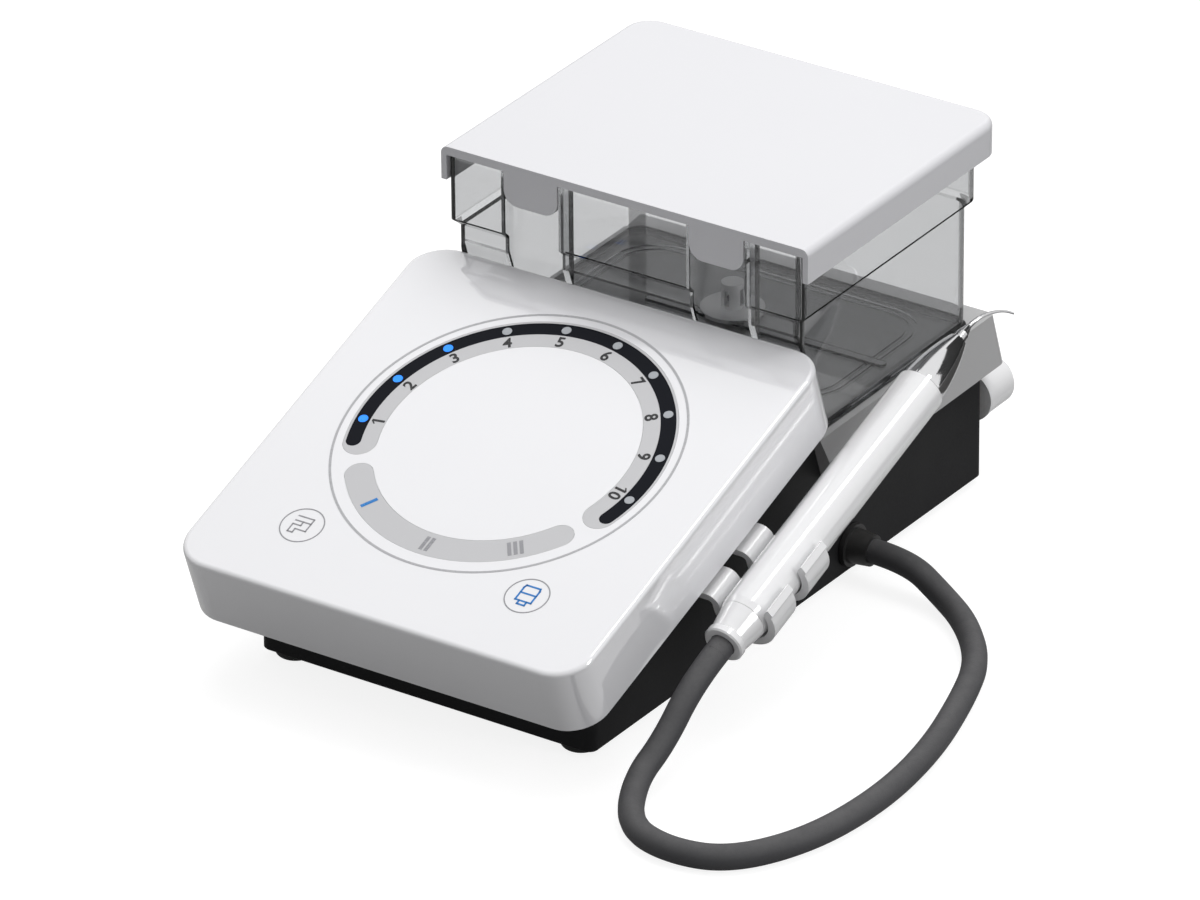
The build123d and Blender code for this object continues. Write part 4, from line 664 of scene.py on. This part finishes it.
def mesh_from(bm, name):
    """An object from a finished bmesh, with its faces turned outward and in the same order each run."""
    bmesh.ops.remove_doubles(bm, verts=bm.verts, dist=1e-7)
    bmesh.ops.recalc_face_normals(bm, faces=bm.faces)
    for order, face in enumerate(sorted(bm.faces, key=lambda face: face.calc_center_median()[:])):
        face.index = order
    bm.faces.sort()
    mesh = bpy.data.meshes.new(name)
    bm.to_mesh(mesh)
    bm.free()
    return bpy.data.objects.new(name, mesh)


def ring_print(name, radius, width, segments=96):
    """A thin flat ring on the local z = 0 plane."""
    bm = bmesh.new()
    across = [Vector((radius - width / 2, 0, 0)), Vector((radius + width / 2, 0, 0))]
    corners = [bm.verts.new(p + Vector((0, 0, h))) for h in (0, print_height) for p in across]
    profile = [
        bm.edges.new((corners[0], corners[1])),
        bm.edges.new((corners[1], corners[3])),
        bm.edges.new((corners[3], corners[2])),
        bm.edges.new((corners[2], corners[0])),
    ]
    bmesh.ops.spin(
        bm, geom=profile + corners, cent=(0, 0, 0), axis=(0, 0, 1), angle=2 * pi, steps=segments, use_merge=True
    )
    return mesh_from(bm, name)


def text_print(name, words, size, weight):
    """Flat lettering, centred on the local origin, as a mesh."""
    font = bpy.data.curves.new(name, "FONT")
    font.body = words
    font.size = size
    font.align_x = "CENTER"
    font.align_y = "CENTER"
    font.extrude = print_height / 2
    font.offset = weight
    font.resolution_u = 4
    writer = bpy.data.objects.new(name + "_writer", font)
    scene.collection.objects.link(writer)
    bpy.context.view_layer.update()
    mesh = bpy.data.meshes.new_from_object(writer.evaluated_get(bpy.context.evaluated_depsgraph_get()))
    bpy.data.objects.remove(writer)
    mesh.name = name
    low = min(v.co.y for v in mesh.vertices)
    high = max(v.co.y for v in mesh.vertices)
    left = min(v.co.x for v in mesh.vertices)
    right = max(v.co.x for v in mesh.vertices)
    mesh.transform(Matrix.Translation((-(left + right) / 2, -(low + high) / 2, print_height / 2)))
    return bpy.data.objects.new(name, mesh)


def line_print(name, strokes, width):
    """Strokes of one width on the local z = 0 plane, each a list of points, with square joints."""
    bm = bmesh.new()
    for stroke in strokes:
        points = [Vector((*p, 0)) for p in stroke]
        for a, b in zip(points, points[1:]):
            along = (b - a).normalized() * width / 2
            side = Vector((-along.y, along.x, 0))
            corners = (a - along - side, b + along - side, b + along + side, a - along + side)
            face = bm.faces.new([bm.verts.new(p) for p in corners])
            raised = bmesh.ops.extrude_face_region(bm, geom=[face])
            bmesh.ops.translate(
                bm,
                verts=[v for v in raised["geom"] if isinstance(v, bmesh.types.BMVert)],
                vec=(0, 0, print_height),
            )
    return mesh_from(bm, name)


def add_head_stroke(label):
    """The slanting stroke at the head of a figure one, which the font leaves out, on a label that starts with it."""
    left = min(v.co.x for v in label.data.vertices)
    top = max(v.co.y for v in label.data.vertices)
    stroke = line_print("head_stroke", [[(left + 0.0003, top - 0.0002), (left - 0.0010, top - 0.0013)]], 0.00055)
    stroke.data.transform(Matrix.Diagonal((1, 1, 0.9, 1)))  # just below the figure's own surface
    bm = bmesh.new()
    bm.from_mesh(label.data)
    bm.from_mesh(stroke.data)
    bm.to_mesh(label.data)
    bm.free()
    bpy.data.objects.remove(stroke)


def on_panel(x, y, turn=0.0):
    """A place on the panel's surface, turned about the surface's normal."""
    return panel @ Matrix.Translation((x, y, print_lift)) @ Matrix.Rotation(turn, 4, "Z")


def on_dial(radius, angle, turn):
    """A place on the dial, at an angle from its centre's right-hand side."""
    return on_panel(radius * cos(angle), dial_y + radius * sin(angle), turn)


dial_ring_radius = 0.0675
number_radius = 0.0537
mark_radius = 0.0567
first_number_angle = 189
number_pitch = 22

seat(ring_print("dial_ring", dial_ring_radius, 0.0010, 160), on_panel(0, dial_y), pale_ink)
for level in range(1, 11):
    label = text_print(f"level_number_{level}", str(level), 0.0070, 0.00018)
    if level in (1, 10):
        add_head_stroke(label)
    angle = radians(first_number_angle - number_pitch * (level - 1))
    seat(label, on_dial(number_radius, angle, angle - pi / 2), black_ink)
for words, degrees, ink_used in (("I", -125, blue_ink), ("II", -90, grey_ink), ("III", -55, grey_ink)):
    label = text_print(f"mode_mark_{len(words)}", words, 0.0092, 0.00030)
    angle = radians(degrees)
    seat(label, on_dial(mark_radius, angle, angle + pi / 2), ink_used)

# Touch fields: a ring round a tap, and a ring round a bottle
for name, x in (("tap", -0.050), ("bottle", 0.050)):
    seat(ring_print(f"{name}_ring", 0.0085, 0.00050, 72), on_panel(x, 0.032), grey_ink)
tap_strokes = [
    [(-0.0046, 0.0040), (0.0022, 0.0040), (0.0022, 0.0016), (-0.0046, 0.0016)],
    [(-0.0012, 0.0016), (-0.0012, -0.0004), (-0.0046, -0.0004), (-0.0046, -0.0044), (-0.0024, -0.0044)],
    [(-0.0024, -0.0044), (-0.0024, -0.0024), (0.0022, -0.0024), (0.0022, 0.0016)],
]
tap = line_print("tap_mark", tap_strokes, 0.00062)
seat(tap, on_panel(-0.0492, 0.032), grey_ink)
bottle_strokes = [
    [
        (-0.0030, 0.0042),
        (0.0030, 0.0042),
        (0.0034, 0.0030),
        (0.0034, -0.0034),
        (-0.0034, -0.0034),
        (-0.0034, 0.0030),
        (-0.0030, 0.0042),
    ],
    [(-0.0034, 0.0004), (0.0034, 0.0004)],
    [(-0.0016, -0.0034), (-0.0016, -0.0052), (0.0016, -0.0052), (0.0016, -0.0034)],
]
bottle = line_print("bottle_mark", bottle_strokes, 0.00080)
seat(bottle, on_panel(0.050, 0.0325), blue_ink)


# Floor and light

def background_rays(tree, in_mirrors=1.0):
    """1 for rays that meet the plain white background, directly or through glass, a share in mirrors, else 0."""
    rays = tree.nodes.new("ShaderNodeLightPath")
    direct = calculate(tree, "MAXIMUM", rays.outputs["Is Camera Ray"], rays.outputs["Is Transmission Ray"])
    mirrored = calculate(tree, "MULTIPLY", rays.outputs["Is Glossy Ray"], in_mirrors)
    return calculate(tree, "MAXIMUM", direct, mirrored)


def add_floor():
    """A pale floor that keeps the object's shadow and shows plain white round it."""
    bm = bmesh.new()
    bmesh.ops.create_grid(bm, x_segments=2, y_segments=2, size=floor_reach)
    floor = mesh_from(bm, "floor")
    floor.data.transform(Matrix.Translation((0, 0, -floor_gap)))
    scene.collection.objects.link(floor)
    material, tree, shader, vector = new_material("floor_paper")
    tone = place_group(
        tree, tone_drift, vector, Colour_A=(0.29, 0.29, 0.29, 1), Colour_B=(0.27, 0.27, 0.27, 1), Scale=3.0
    )
    link(tree, tone.outputs["Colour"], shader.inputs["Base Color"])
    texture = place_group(
        tree, moulded_grain, vector, Scale=300.0, Low_Roughness=0.8, High_Roughness=0.9
    )
    link(tree, texture.outputs["Roughness"], shader.inputs["Roughness"])
    shader.inputs["Specular IOR Level"].default_value = 0.0
    strength = calculate(tree, "MULTIPLY", background_rays(tree, floor_in_mirrors), floor_fill)
    shader.inputs["Emission Color"].default_value = (1, 1, 1, 1)
    link(tree, strength, shader.inputs["Emission Strength"])
    floor.data.materials.append(material)


def aimed(place, aim, axis):
    """A place, turned so that the named axis points at the aim."""
    turn = (Vector(aim) - Vector(place)).to_track_quat(axis, "Y").to_matrix().to_4x4()
    return Matrix.Translation(place) @ turn


def add_card(name, place, aim, width, height):
    """A matt dark card that shows only in what mirrors it, as a studio hangs to shape a gloss."""
    bm = bmesh.new()
    bmesh.ops.create_grid(bm, x_segments=1, y_segments=1, size=0.5)
    card = mesh_from(bm, name)
    card.data.transform(aimed(place, aim, "Z") @ Matrix.Diagonal((width, height, 1, 1)))
    scene.collection.objects.link(card)
    card.data.materials.append(card_black)
    card.visible_camera = False
    card.visible_diffuse = False
    card.visible_transmission = False
    card.visible_shadow = False


def add_softbox(name, place, aim, width, height, power, mirrored):
    """A soft rectangular lamp, seen in what mirrors it or not."""
    lamp = bpy.data.lights.new(name, "AREA")
    lamp.shape = "RECTANGLE"
    lamp.size = width
    lamp.size_y = height
    lamp.energy = power
    holder = bpy.data.objects.new(name, lamp)
    holder.visible_glossy = mirrored
    holder.matrix_world = aimed(place, aim, "-Z")
    scene.collection.objects.link(holder)


def add_world():
    """Surroundings that are bright overhead and dim at the horizon, and plain white where they are seen."""
    world = bpy.data.worlds.new("surroundings")
    world.use_nodes = True
    tree = world.node_tree
    back = tree.nodes["Background"]
    back.inputs["Color"].default_value = (1, 1, 1, 1)
    place = tree.nodes.new("ShaderNodeTexCoord")
    split = tree.nodes.new("ShaderNodeSeparateXYZ")
    link(tree, place.outputs["Generated"], split.inputs[0])
    height = tree.nodes.new("ShaderNodeMapRange")
    height.inputs["From Min"].default_value = 0.12
    height.inputs["To Min"].default_value = horizon_strength
    height.inputs["To Max"].default_value = zenith_strength
    link(tree, split.outputs["Z"], height.inputs["Value"])
    mix = tree.nodes.new("ShaderNodeMix")
    mix.inputs["B"].default_value = 1.0
    link(tree, background_rays(tree), mix.inputs["Factor"])
    link(tree, height.outputs["Result"], mix.inputs["A"])
    link(tree, mix.outputs["Result"], back.inputs["Strength"])
    scene.world = world


floor_reach = 12.0
floor_gap = 0.0002
floor_fill = 0.86
floor_in_mirrors = 0.25
horizon_strength = 0.02
zenith_strength = 0.84
card_black = rubber("card_black", (0.012, 0.012, 0.012), 0.1)
add_floor()
add_world()
add_card("rear_card", (0.60, 1.0, 0.62), (0.60, 0, 0.62), 1.20, 1.22)
add_card("low_card", (0.46, 0.58, 0.0004), (0.46, 0.58, 1.0), 0.74, 0.80)
add_softbox("overhead_lamp", (-0.2, 0.35, 1.6), (0, 0, 0.05), 1.3, 1.3, 13.0, mirrored=False)
add_softbox("right_lamp", (1.7, 0.1, 0.75), (0, 0, 0.06), 0.35, 1.2, 10.0, mirrored=True)
add_softbox("streak_lamp", (0.62, 0.40, 1.5), (0.09, -0.02, 0.06), 0.14, 0.9, 3.0, mirrored=True)
scene.view_settings.view_transform = "Standard"

bpy.context.view_layer.update()
